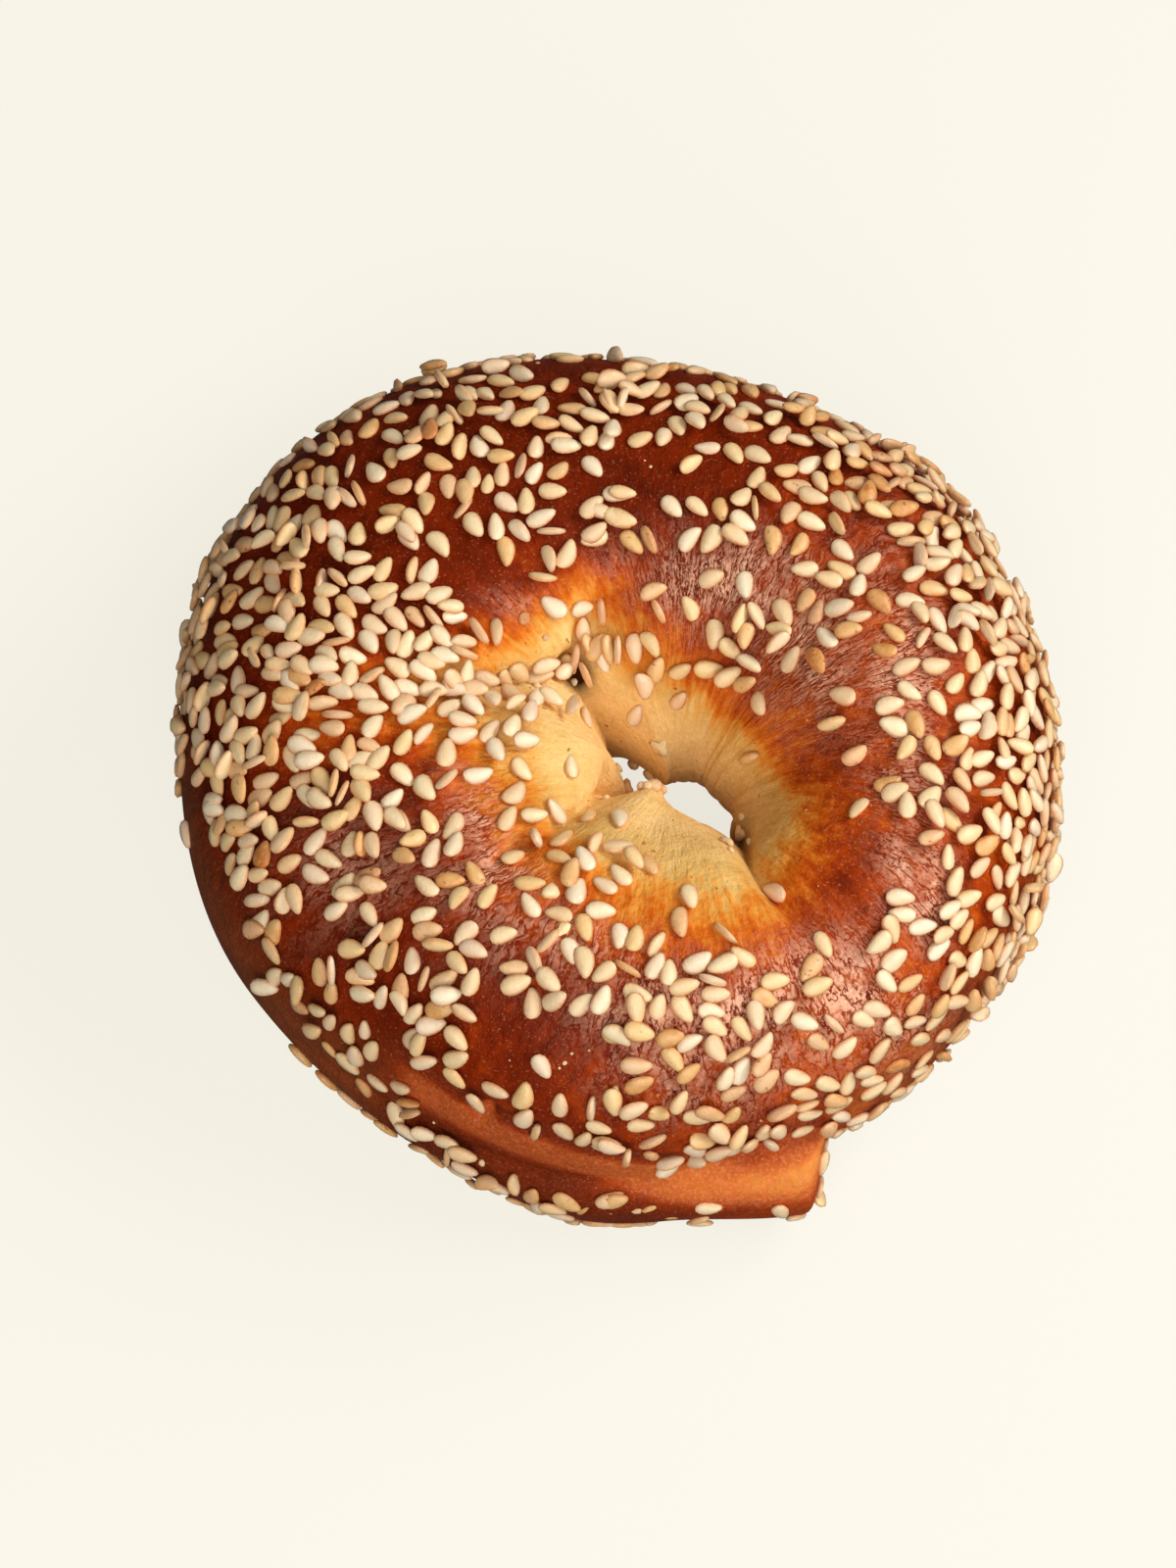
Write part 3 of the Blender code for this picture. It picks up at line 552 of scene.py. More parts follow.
# Seeds as the photo shows them, in enlarged parts of it: across and down in that part's pixels, and
# the heading of the tip in degrees anticlockwise from right. n lies on its edge, s is small, p is
# pale, t toasted and g golden brown.
seenSeeds = [
    {"corner": (0, 0), "enlarged": 1.0, "seeds": """
418,551,-50 448,556,-50 516,563,-80 560,571,-75n 578,566,65 606,549,200 645,554,-45 662,552,-70n 553,590,-10
421,582,70 438,584,65 424,607,200 447,609,30 464,630,5 424,631,-50 441,632,-50n 486,647,-70n 505,646,-85n
470,656,-20 449,653,-45 432,656,50 414,659,70 470,666,-30 452,671,-15p 438,676,-20 474,685,80 461,693,-50
496,693,-12 516,692,-60s 530,686,-50 557,678,15 564,619,145p 593,620,12p 615,624,-88n 595,642,90s 603,658,-60
611,658,60 624,661,-82n 635,661,-80n 648,662,-85 665,657,-55 618,674,-75s 591,668,-75n 583,678,-60s
600,686,-60n 574,689,40 672,681,70 659,695,-80 550,691,8 415,703,-15 441,702,0 482,700,0n 484,709,0
462,709,0n 523,708,-40 459,723,30 483,724,-45 502,720,-65 441,720,55n 523,726,33n 548,712,65 560,716,-40
575,730,80n 597,732,100 537,734,75 520,746,60 500,747,50 472,753,10 471,741,-8 534,760,0p 505,768,-65
432,750,47n 412,760,60 455,772,80 420,734,20 649,729,60p 582,782,90p
704,550,50 725,551,240 751,548,-35 788,552,-88 815,557,235 860,563,-45 821,581,180 858,582,155 846,593,165
887,576,40 876,601,70 898,615,-50g 726,590,25 760,597,-83 704,620,115 673,623,-60 668,602,20 822,613,240
834,625,70g 859,622,8 877,630,18 773,628,-72 756,630,60n 763,647,255t 729,647,-92 746,661,-45 800,626,-65
797,643,165 799,658,215 808,673,55 834,675,-62g 844,651,135 867,645,10t 912,646,140 902,663,160g 925,680,25
695,684,30 724,681,-5 746,686,28 772,676,-45 768,697,15t 776,719,-72 693,714,50s 860,710,165 852,739,20n
908,720,20 928,706,-35 912,742,160 934,740,-70 924,766,235 767,772,28n 874,772,35
411,791,-45 434,807,-60 455,798,55 488,791,12 532,786,-55 525,810,45 518,836,60 543,834,0 566,828,125p
438,839,120 462,844,240 422,859,205 441,871,70 464,865,65 414,877,-20t 409,839,-50 484,892,125 524,876,30
548,864,50n 574,857,35 571,876,-25 601,834,60s 632,837,-85p 607,863,65 630,868,-5 596,880,120 646,883,-50
663,884,-58 633,894,135 582,894,70t 617,904,145 541,902,0 563,910,215 588,911,75 460,899,0 435,904,140
468,918,240 498,915,55 541,924,125 570,934,165 613,930,0 596,948,-75 433,934,20 437,950,8 475,953,225
514,954,15 559,960,45 582,971,-72 632,956,-92 648,958,75t 670,964,55n 546,979,-72 524,988,180 596,983,-80
616,993,215 641,987,-32n 450,965,-8n 485,970,-20 421,980,95 470,983,-45 434,998,75 484,1001,70 454,1000,35
528,1004,20 561,1001,-45 669,987,60
704,916,-75 694,942,-85 740,952,140 757,977,150 712,982,30 736,984,200 682,993,80 726,998,0n 791,1001,5
827,988,235 840,965,-62 832,1005,20 791,911,160 757,852,20s 876,826,232 906,800,15t 913,810,20 924,825,88
918,916,-3 919,933,175 907,948,-65 893,962,225 912,979,35 902,1000,-50 928,1002,30
"""},
    {"corner": (170, 350), "enlarged": 3.6, "seeds": """
1383,46,0 870,140,20 945,116,10 1035,104,5 1212,104,10n 1125,140,0 1305,133,-15 1230,148,-15 1175,192,-60
1447,160,50 1572,140,-20 1612,173,200 990,190,-50s 1020,168,-60n 955,208,-30 885,212,-80 1115,192,-40
1345,190,25 1270,200,-20t 1098,222,-35n 1110,270,-55t 1062,275,-55n 1545,212,-40n 1620,245,-60n 1487,247,175
1375,235,75 1245,252,65 1318,290,25 1195,287,-10 845,280,-5 690,280,-20 810,245,20 750,322,60t 968,275,70
1030,295,60 1485,305,-25 1570,287,-10 1392,312,0t 975,345,90g 835,350,-35 665,355,-60t 630,385,-40n
1030,360,60 925,365,60 1080,390,80 1148,383,110 1197,355,-35 1357,385,80 1440,365,5n 1465,397,0 1550,365,65
1615,360,75p 1565,458,-50p 1440,472,45 1418,548,-5 1352,480,60 1300,455,65 1233,485,85 1230,430,0
1180,520,80s 1125,498,90 1035,530,-85t 1097,555,-80 945,525,55 860,540,180t 768,480,130p 680,462,85
828,430,-85 900,425,20 1000,445,-20 610,422,-50 510,455,10 540,395,-20 455,515,80 510,515,90 610,500,-75
565,500,-85 560,565,-35 487,582,10 712,565,-60n 672,590,-65 630,600,-90 955,600,-80 830,620,170t
910,665,-50 885,705,-60 820,675,10 1092,605,60 1130,675,-60 1250,590,-35 1320,585,90 1375,643,20 1413,692,5
1210,680,95 1297,692,-40n 1655,558,0 1560,610,45 1600,630,-20 1655,655,-30 1570,700,30 1670,240,60
703,705,85 627,697,-50 572,705,-80 537,740,90n 633,770,-70 710,805,15 538,640,75 467,675,50 395,645,75
425,735,60t 450,800,-10 295,745,0 290,835,30 395,885,-60 405,840,-25 340,840,70 490,850,0n 500,900,85
578,885,80 640,880,-50n 725,865,25 800,845,60 600,925,-10 715,940,-35 805,965,30 670,985,-50 585,985,-60
320,940,40 250,915,0 248,960,60t 372,962,0 433,960,70n 490,965,-25 463,1010,-80 285,1025,0 225,1055,10
225,1100,0 360,1055,20g 430,1055,-20 495,1065,60 545,1095,0 580,1060,-15 665,1055,-60 635,1105,-5n
765,1040,-30 745,1100,-60 465,1140,10 600,1155,-30 690,1160,-10 335,1120,60 390,1150,-60s 430,1195,0
515,1205,-35 590,1200,-5 200,1245,0 270,1240,90 345,1175,-40 410,1230,-20 310,1285,0 170,1310,80n
105,1325,-75 135,1380,50 173,1395,80 245,1400,-85 290,1345,-65 355,1345,50 265,1430,60 420,1380,10
400,1435,50 450,1340,-20 465,1310,0t 515,1350,70 320,1450,20 500,1240,-30t 560,1275,30g 470,1260,-60
610,1245,-20 650,1290,-25 590,1330,0 680,1225,80 755,1225,35 640,1370,0n 730,1295,-20 755,1345,-10 520,1445,5
"""},
    {"corner": (620, 350), "enlarged": 3.6, "seeds": """
262,88,-45t 100,118,5 90,160,15 10,178,0 178,140,20t 230,125,-50 200,180,60t 80,205,-10 143,200,20
5,250,-60 82,268,-5 195,245,20n 290,178,-30 290,232,30 360,205,-55 405,175,80t 452,175,-75t 525,185,-65t
435,245,-50 403,290,65n 590,180,-60 660,190,15 710,215,0t 625,230,-15 525,245,-30 257,310,-65 330,270,-20
325,315,-50 120,360,25 203,350,-110 12,345,80 525,310,0t 480,295,60 605,292,40 675,275,0t 725,300,60g
635,345,40 470,340,-20 700,372,165 365,388,180 307,452,30 465,410,-60 552,415,-35 770,300,20g 790,335,0t
715,245,10 785,395,-25 830,383,-5 740,452,30 655,480,20 548,497,60 695,530,170t 780,517,-70 835,495,85g
815,460,70 885,430,60 905,470,5t 930,425,-50g 915,520,175t 985,500,-10g 990,450,-15g 1040,445,30
985,545,-50g 1030,550,60n 750,577,-25 848,613,-40 897,585,-60 943,577,75g 983,640,-20 1040,610,5t
1070,640,5g 668,628,240 748,662,-25 840,675,-55 595,565,-50 540,610,90 492,575,45 415,615,-80 330,605,-40
237,605,-50 55,558,-5 50,655,-20 497,665,-35 1090,475,20 1090,520,30t 1050,500,10t 1180,510,5 1205,575,10p
1130,560,-20 1140,600,20 1250,625,65 1300,665,40 1190,610,-10 1190,650,20t 1075,690,10 1110,740,-5n
1190,720,80 1240,690,-20t 1300,705,30 1160,690,50t 1135,800,70n 1200,800,-20 1255,780,60 1310,790,-60
1190,840,0 1115,872,30 1195,910,-10 1250,880,60 1295,870,85 1345,860,-60 1330,910,50 1280,950,-10
1365,935,80n 1410,930,-30 1110,952,-10 1145,1000,-70 1210,1025,-65 1262,1020,85n 1305,1005,-30 1350,1010,-30
1300,1045,-40n 1150,1085,50 1228,1118,-45 1290,1112,85 1365,1090,-60 1410,1010,-80 1420,1060,60
1415,1138,20 1337,1170,90 1200,1188,10 1275,1252,50 1385,1215,60 1350,1260,70 1445,1185,10 1430,1240,-50
1465,1250,-70t 1212,1325,-60 1375,1332,10 1312,1370,0 1435,1310,80 1315,1425,20 1383,1410,80n 1420,1400,85
1465,1405,80t 1500,1200,-60t 1530,1170,20 1480,1050,-10 1500,1100,-30 1520,1250,70 1560,1230,80 1540,1300,70
1550,1380,-70 1520,1440,60 1580,1440,90 1610,1410,80
"""},
    {"corner": (170, 760), "enlarged": 3.4, "seeds": """
118,35,-40 210,40,90 275,35,-60 325,15,80 335,70,15 240,80,65n 195,90,-20 270,95,0t 145,110,50 350,125,20
385,30,75t 440,50,-70 480,12,-20 510,62,10 475,122,25 410,190,50 330,185,25 280,160,-80 205,140,-85
197,193,-3 200,225,-10 217,272,70 270,245,5 325,240,60 345,265,45n 285,290,10t 75,310,-80 385,300,-70
240,335,30 310,335,5 300,378,60 358,383,60g 428,335,50 520,335,55 500,275,5 600,270,25 495,185,-50
545,200,-30 545,130,-60 592,145,80n 620,180,70n 655,230,60 685,170,-60 610,65,-55 640,25,85 680,60,30
695,110,-10 740,55,50 710,15,-20 785,190,40 640,345,75 680,350,85n 722,360,-70 725,260,-75 795,265,-45
430,410,30 565,400,-25 228,410,60 288,455,60 340,450,20 365,493,10 520,450,-25 620,490,50 705,465,25g
650,520,10 730,495,-10 605,575,30 340,535,10 420,540,85n 465,535,-75 705,590,-60 730,660,60 795,645,45
330,610,50 320,635,10t 378,645,65 378,710,-60 660,705,0 755,725,70 800,730,88n 535,785,90 600,770,80
715,775,-25 690,800,-20 380,800,50 435,805,35 480,835,-80 360,830,-20 590,845,80t 705,850,-5 760,865,65
820,840,80t 825,885,-60 985,862,5 875,920,50 960,910,5t 1050,920,-50 935,958,10 855,1015,60 893,1015,70
1020,1005,-50 1020,1070,20 915,1075,5 1015,1135,-45 1090,1210,-45 1143,1195,-20 465,905,-25g 545,905,5
585,945,50 535,965,10 635,995,80 690,985,85s 665,1065,85 715,1055,60 570,1055,-50s 635,1100,-50
470,1090,-45t 540,1150,-45 735,1170,-30 815,1185,0 690,1185,-55t 850,1225,-3n 855,1262,3n 800,1285,-75
845,1330,-40 905,1340,-20 985,1360,-15 1240,1210,70 1250,1275,60 1303,1115,-60 1270,895,90 1350,885,25
1440,900,40 1510,885,65 1560,1005,-10 1365,1245,85 1475,1255,-80 1550,1225,80 1380,1335,-50 1450,1360,50
1500,1325,-20 1530,1365,0 980,1415,80n 1040,1410,-20 950,1445,-20 1045,1455,-25 1020,1480,-20 1130,1490,-5
1150,1530,-20 1085,1530,20 1210,1520,-70 1268,1560,60 1290,1600,50 1215,1580,-40 1390,1585,-30t
1345,1600,-20 1450,1620,30 1540,1590,20 1430,1670,40 1495,1670,0 1550,1670,-5 660,1260,-40
"""},
    {"corner": (620, 760), "enlarged": 3.4, "seeds": """
1125,18,-70 1195,10,30t 1245,50,60 1290,50,20 1350,20,90 1355,65,10 1125,105,-40 1220,130,-60 1300,118,10
1300,175,0 1390,180,-70 1415,105,10 1455,150,-60 1440,60,40 1115,187,45 1195,205,-55 1125,252,-70
1190,265,-45 1330,232,60s 1305,270,-70 1375,280,85 1423,272,0s 1475,290,-40 1240,312,20 1110,330,15t
1290,350,35t 1178,390,85 1268,425,45 1345,460,-75 1395,445,60 1190,475,80 1445,410,75 1225,530,30
1165,568,25 1325,540,25 1405,515,75 1435,540,80 1470,560,70 1195,598,40 1360,595,-50 1090,630,10 1145,652,20
1240,645,60 1255,665,75n 1315,665,35 1345,695,60 1390,690,70t 1435,630,60 1145,705,35 1210,745,-20
1255,745,70 1305,740,85 1350,770,60 1155,790,70n 1195,810,50 1290,825,80n 35,1005,-30 110,990,-15
105,865,-20 98,915,-80 175,908,75 260,915,-60 265,840,15 375,865,0 360,925,-10 370,975,-35 545,880,-25t
605,920,45 510,935,-80 465,985,-55 670,950,-20 780,965,-55 885,950,-25 930,915,-15 980,970,-50 1065,900,60
1125,885,75t 1180,870,10 1225,860,80n 1255,870,-70n 1055,950,10 1135,945,45 1245,900,10 730,1030,-35
820,1045,45 215,1010,15t 285,1030,30 370,1045,-60 440,1058,20 530,1030,50 940,1055,60 1080,1015,-15
1160,1005,0 1220,990,50 100,1110,0t 110,1175,30t 228,1090,-50t 280,1130,40t 402,1140,70 460,1125,65
525,1090,50 550,1160,45t 655,1150,-15 760,1170,-20 830,1170,75 885,1120,-20 915,1160,10 1005,1107,10g
1095,1085,30 1080,1125,20 20,1225,-80 90,1240,20 245,1218,60 435,1205,30t 680,1205,-10 685,1240,10
590,1245,30n 780,1215,-10t 800,1245,35 920,1195,30 985,1170,50 180,1277,-25 115,1315,0 310,1290,-10
350,1262,-15t 430,1280,60t 385,1330,-45 445,1330,50 700,1278,10 810,1285,-15 870,1290,30 920,1255,50
15,1360,-20 68,1390,-70 155,1365,20 325,1360,-5 540,1340,80 585,1325,-50 675,1330,5 760,1315,-80t
305,1400,-40 380,1395,30 435,1393,45 488,1375,-70 150,1440,-70 215,1415,10 210,1460,40 305,1437,10
25,1590,20 35,1640,-10t 90,1635,50 50,1680,0 100,1670,20 155,1630,-30 225,1640,-5 350,1605,0 320,1645,20
340,1678,0 600,1615,-60 650,1640,-20
"""},
]

# Where the sides have no seeds: direction in degrees from and to, then for the belt at the left the
# height in mm from and to. The roll's top is bare above its heights.
bareSides = {
    "belt": ((176, 184), (232, 246), (5.0, 7.0), (22.0, 26.0)),
    "rollTop": ((222, 230), (292, 296)),
    "rollTopHeights": (6.5, 8.5),
    "rollEnd": ((270, 276), (292, 296)),
}

# Where seeds are few, seen from above: middle, half width and half depth, share of seeds lost.
barePatches = {
    "farCrest": ((12.0, 22.3), (5.0, 3.0), 0.8),
    "aboveTheRoll": ((-8.4, -35.0), (6.0, 5.0), 0.8),
}


def photoAxes():
    # the directions of right, up and towards the camera in the photo
    tilt = np.radians(photo["elevation"])
    up = np.array([0, np.sin(tilt), np.cos(tilt)])
    back = np.array([0, -np.cos(tilt), np.sin(tilt)])
    return np.array([1.0, 0, 0]), up, back


def photoPixel(points):
    # the photo's pixel of each point in the drawing's mm, and its height towards the camera
    right, up, back = photoAxes()
    away = toMetres(points) - np.array(photo["target"])
    nearer = photo["distance"] / (photo["distance"] - away @ back)
    scale = photo["height"] / photo["heightSeen"] * nearer
    across = photo["width"] / 2 + (away @ right) * scale
    down = photo["height"] / 2 - (away @ up) * scale
    return np.stack([across, down], -1), away @ back


# How a place on the crust is found from its pixel.
search = {
    "facing": 0.05,  # how much a grid point has to face the camera
    "near": 9,  # pixels within which the highest grid point is taken
    "nearer": 60,  # pixels that the full height counts for
    "height": 0.033,  # the full height in metres
    "step": 0.01,  # radians between which the slopes are measured
    "most": 0.06,  # radians that one step may move
    "rounds": 6,
    "flattest": 2000,  # least cross product of the slopes, so that steps near the edge stay short
    "missed": 24,  # pixels by which a place may miss
    "outside": 26,  # pixels by which a pixel may lie off the outline
}


def placeOnPixels(surface, pixels):
    # the turn and lean whose point falls on each pixel: from the nearest grid point that faces the
    # camera, by steps along the slopes of the pixel over turn and lean; and how far the pixel lies from
    # that grid point
    back = photoAxes()[2]
    rough = surface["point"][::2, ::2].reshape(-1, 3)
    facing = surface["normal"][::2, ::2].reshape(-1, 3) @ back > search["facing"]
    roughTurn = surface["turn"][::2, ::2].ravel()[facing]
    roughLean = surface["lean"][::2, ::2].ravel()[facing]
    shown, depth = photoPixel(rough[facing])
    away = np.hypot(*(pixels[:, None, :] - shown[None]).transpose(2, 0, 1))
    height = -search["nearer"] * depth[None] / search["height"]
    best = np.argmin(away + np.where(away < search["near"], height, search["nearer"]), axis=1)
    turn, lean = roughTurn[best], roughLean[best]
    step, most, flattest = search["step"], search["most"], search["flattest"]
    for _ in range(search["rounds"]):
        here = photoPixel(doughPoint(turn, lean))[0]
        byTurn = (photoPixel(doughPoint(turn + step, lean))[0] - here) / step
        byLean = (photoPixel(doughPoint(turn, lean + step))[0] - here) / step
        off = pixels - here
        cross = byTurn[:, 0] * byLean[:, 1] - byTurn[:, 1] * byLean[:, 0]
        cross = np.where(np.abs(cross) < flattest, flattest * np.sign(cross + 1e-9), cross)
        turn = turn + np.clip((off[:, 0] * byLean[:, 1] - off[:, 1] * byLean[:, 0]) / cross, -most, most)
        lean = lean + np.clip((off[:, 1] * byTurn[:, 0] - off[:, 0] * byTurn[:, 1]) / cross, -most, most)
    return turn, lean, away.min(axis=1)


def seenPlaces(surface):
    # the listed seeds' places on the crust, lifted where they pile up, with each heading laid from the
    # picture onto the crust
    pixels, headings, letters = [], [], []
    for part in seenSeeds:
        words = [word.split(",") for word in part["seeds"].split()]
        read = np.array([[float(item.strip("nsptg")) for item in word] for word in words])
        pixels.append(read[:, :2] / part["enlarged"] + np.array(part["corner"]))
        headings.append(np.radians(read[:, 2]))
        letters += [word[2][-1] if word[2][-1] in "nsptg" else "" for word in words]
    pixels, headings, letters = np.concatenate(pixels), np.concatenate(headings), np.array(letters)
    turn, lean, offOutline = placeOnPixels(surface, pixels)
    point, _, normal, _ = crustFrame(turn, lean)
    missed = np.hypot(*(photoPixel(point)[0] - pixels).T)
    kept = (missed < search["missed"]) & (offOutline < search["outside"])
    print(kept.sum(), "of", len(kept), "seen seeds placed")
    right, up, back = photoAxes()
    reach, height, turned = seeds["pile"]
    distance, _, share = toLine(point[:, 0], point[:, 1], creases["lipOverTongue"]["line"])
    piled = (hill(distance / reach) * (1 - smoothStep(*seeds["pileEnd"], share)))[:, None]
    point = point + height * piled * back
    normal = normal + turned * piled * back
    normal = normal / np.linalg.norm(normal, axis=-1, keepdims=True)
    flat = np.cos(headings)[:, None] * right + np.sin(headings)[:, None] * up
    facing = np.maximum(normal @ back, seeds["flattestView"])
    along = flat - ((flat * normal).sum(-1) / facing)[:, None] * back
    along = along - (along * normal).sum(-1, keepdims=True) * normal
    along = along / np.linalg.norm(along, axis=-1, keepdims=True)
    return point[kept], along[kept], normal[kept], letters[kept]


def seedChance(turn, point, normal):
    # one over the crust that the photo doesn't show; less on the foot, none in the funnel, on the bare
    # belt at the left and on top of the roll; and the gap that a seed keeps there
    x, y, z = np.moveaxis(point, -1, 0)
    mx, my, _ = dough["middle"]
    direction = np.degrees(np.arctan2(y - my, x - mx)) % 360
    foot = seeds["footShare"]
    chance = foot + (1 - foot) * smoothStep(*seeds["footHeights"], z)
    beltStart, beltEnd, beltUnder, beltOver = bareSides["belt"]
    chance = chance * (1 - band(direction, beltStart, beltEnd) * band(z, beltUnder, beltOver))
    groove = np.interp(direction, *zip(*roll["groove"]))
    underGroove = z < groove + 1
    rollTop = band(direction, *bareSides["rollTop"]) * smoothStep(*bareSides["rollTopHeights"], z)
    chance = chance * (1 - rollTop * underGroove)
    chance = chance * (1 - band(direction, *bareSides["rollEnd"]) * underGroove)
    fromHole = np.hypot(x - dough["hole"][0], y - dough["hole"][1]) - holeReach(turn)
    for place, size, loss in barePatches.values():
        chance = chance * (1 - loss * patchHill(x, y, place, size))
    chance = chance * smoothStep(*seeds["funnelEdge"], fromHole)
    fromCrease = toLine(x, y, creases["nearOverRightWall"]["line"])[0]
    chance = chance * (1 - hill(fromCrease / seeds["creaseClear"]))
    seenFrom, gap = np.full(x.shape, seeds["seenFrom"]), np.full(x.shape, seeds["gap"])
    for start, end, reach, closer in seeds["crowded"]:
        inside = band(direction, start, end) + band(direction - 360, start, end)
        seenFrom = seenFrom + (reach - seenFrom) * inside
        gap = gap + (closer - gap) * inside
    return chance * (normal @ photoAxes()[2] < seenFrom), gap


def seedThirds(point, along):
    # three places along a seed, for telling whether two seeds meet
    return point[..., None, :] + along[..., None, :] * np.array(seeds["thirds"])[:, None]


def scatterSeeds(surface):
    # the listed seeds first; then places drawn by area and chance, each kept if its thirds lie clear of
    # the thirds of all seeds before it
    draw = np.random.default_rng(seeds["randomSeed"])
    point, along, normal, letters = seenPlaces(surface)
    turn, lean, luck, heading = draw.random((4, seeds["draws"]))
    turn, lean, heading = 2 * np.pi * turn, 2 * np.pi * lean, 2 * np.pi * heading
    newPoint, around, newNormal, area = crustFrame(turn, lean)
    chance, gap = seedChance(turn, newPoint, newNormal)
    chance = chance * area / np.quantile(area, 0.995)
    drawn = np.flatnonzero(luck < chance)
    sideways = np.cross(newNormal, around)
    middles = np.zeros((seeds["most"], 3))
    thirds = np.zeros((seeds["most"], 3, 3))
    count = len(point)
    middles[:count], thirds[:count] = point, seedThirds(point, along)
    places, ways = [], []
    for index in drawn:
        if count == seeds["most"]:
            break
        apart = np.square(middles[:count] - newPoint[index]).sum(-1)
        near = np.flatnonzero(apart < seeds["gapReach"])
        for extra in seeds["turnsTried"]:
            angle = heading[index] + extra
            way = np.cos(angle) * around[index] + np.sin(angle) * sideways[index]
            own = seedThirds(newPoint[index], way)
            away = np.square(thirds[near][:, :, None, :] - own[None, None]).sum(-1)
            if away.size and away.min() < gap[index] ** 2:
                continue
            places.append(index)
            ways.append(way)
            middles[count], thirds[count] = newPoint[index], own
            count += 1
            break
    print(len(places), "more seeds scattered from", len(drawn), "places")
    point = np.concatenate([point, newPoint[places]])
    along = np.concatenate([along, np.array(ways)])
    normal = np.concatenate([normal, newNormal[places]])
    letters = np.concatenate([letters, np.full(len(places), "")])
    return point, along, normal, letters, thirds[:count], draw


def seedLayers(point, thirds):
    # a seed that meets earlier ones lies one layer above the highest of them, up to the third layer
    layer = np.zeros(len(point))
    for index in range(1, len(point)):
        near = np.flatnonzero(np.square(point[:index] - point[index]).sum(-1) < seeds["touchReach"])
        away = np.square(thirds[near][:, :, None, :] - thirds[index][None, None]).sum(-1)
        met = near[away.reshape(len(near), -1).min(axis=1) < seeds["touch"] ** 2] if len(near) else near
        if len(met):
            layer[index] = min(layer[met].max() + 1, seeds["topLayer"])
    return layer


def budFaces(around, rings, number):
    # the faces of many closed shapes: a point, rings of points and a point; quads between the rings
    # and triangles at both ends, with the numbers moved on for each shape
    each = rings * around + 2
    ring = np.arange(around)
    after = (ring + 1) % around
    rows = np.arange(rings - 1)[:, None] * around + 1
    corners = [rows + ring, rows + around + ring, rows + around + after, rows + after]
    quads = np.stack(corners, -1).reshape(-1, 4)
    start = np.stack([0 * ring, 1 + ring, 1 + after], 1)
    last = 1 + (rings - 1) * around
    end = np.stack([0 * ring + each - 1, last + after, last + ring], 1)
    moved = (np.arange(number) * each)[:, None, None]
    tris = np.concatenate([start, end])
    return [(quads[None] + moved).reshape(-1, 4), (tris[None] + moved).reshape(-1, 3)]


def makeSeeds(surface):
    # one egg-shaped outline, flattened and bent a little, carried to each place: rings along the seed,
    # points round it, with the seed rolled over, pitched and lifted by its layer
    point, along, normal, letters, thirds, draw = scatterSeeds(surface)
    number = len(point)
    share = np.array(seeds["rings"])
    angle = np.arange(seeds["around"]) / seeds["around"] * 2 * np.pi
    half = 2 * np.sqrt(share * (1 - share)) * (seeds["roundEnd"] - seeds["narrowing"] * share) / 2
    swell = (4 * share * (1 - share)) ** seeds["flatness"][0] / 2
    alongShape = np.concatenate([[-0.5], np.repeat(share - 0.5, seeds["around"]), [0.5]])
    acrossShape = np.concatenate([[0], (half[:, None] * np.cos(angle)).ravel(), [0]])
    lift = np.sign(np.sin(angle)) * np.abs(np.sin(angle)) ** seeds["flatness"][1]
    upShape = np.concatenate([[0], (swell[:, None] * lift).ravel(), [0]])
    rim = np.concatenate([[1], np.tile(np.abs(np.cos(angle)), len(share)), [1]])
    length = draw.uniform(*seeds["length"], number) * np.where(letters == "s", seeds["small"], 1.0)
    width = length * draw.uniform(*seeds["width"], number)
    thickness = length * draw.uniform(*seeds["thickness"], number)
    sunk = draw.uniform(*seeds["sunk"], number)
    layer = seedLayers(point, thirds)
    edge = (letters == "n") | ((draw.random(number) < seeds["onEdge"]) & (letters == ""))
    rollOver = draw.normal(0, seeds["roll"], number)
    rollOver = rollOver + edge * draw.uniform(*seeds["edgeRoll"], number) * draw.choice([-1, 1], number)
    ownPitch, stackedPitch = seeds["pitch"]
    pitch = draw.normal(0, ownPitch, number) + (layer > 0) * draw.normal(0, stackedPitch, number)
    bend = draw.normal(0, seeds["bend"], number)
    power, brownest = seeds["toneCurve"]
    tone = draw.random(number) ** power * brownest
    for letter, tones in seeds["tones"].items():
        tone = np.where(letters == letter, draw.uniform(*tones, number), tone)
    across = np.cross(normal, along)
    up = normal * np.cos(rollOver)[:, None] + across * np.sin(rollOver)[:, None]
    across = np.cross(up, along)
    ahead = along * np.cos(pitch)[:, None] + up * np.sin(pitch)[:, None]
    up = np.cross(ahead, across)
    proud = np.maximum(np.abs(np.cos(rollOver)) * thickness, np.abs(np.sin(rollOver)) * width)
    middle = point + normal * (proud * (0.5 - sunk) + layer * seeds["step"] * thickness)[:, None]
    onward = length[:, None] * alongShape
    aside = width[:, None] * acrossShape + bend[:, None] * length[:, None] * (4 * alongShape**2 - 0.4)
    above = thickness[:, None] * upShape
    places = middle[:, None, :] + onward[..., None] * ahead[:, None, :]
    places = places + aside[..., None] * across[:, None, :]
    places = toMetres(places + above[..., None] * up[:, None, :])
    low, high = boxCorners()
    under, over = np.maximum(low - places.min(axis=1), 0), np.maximum(places.max(axis=1) - high, 0)
    places = places + (under - over)[:, None]  # a seed that leaves the box is moved back whole
    each = len(alongShape)
    values = {
        "tone": np.repeat(tone, each),
        "along": np.tile(alongShape + 0.5, number),
        "rim": np.tile(rim, number),
        "tint": np.repeat(draw.random(number), each),
    }
    faces = budFaces(seeds["around"], len(share), number)
    return meshPiece("sesame_seeds", places.reshape(-1, 3), faces, values)


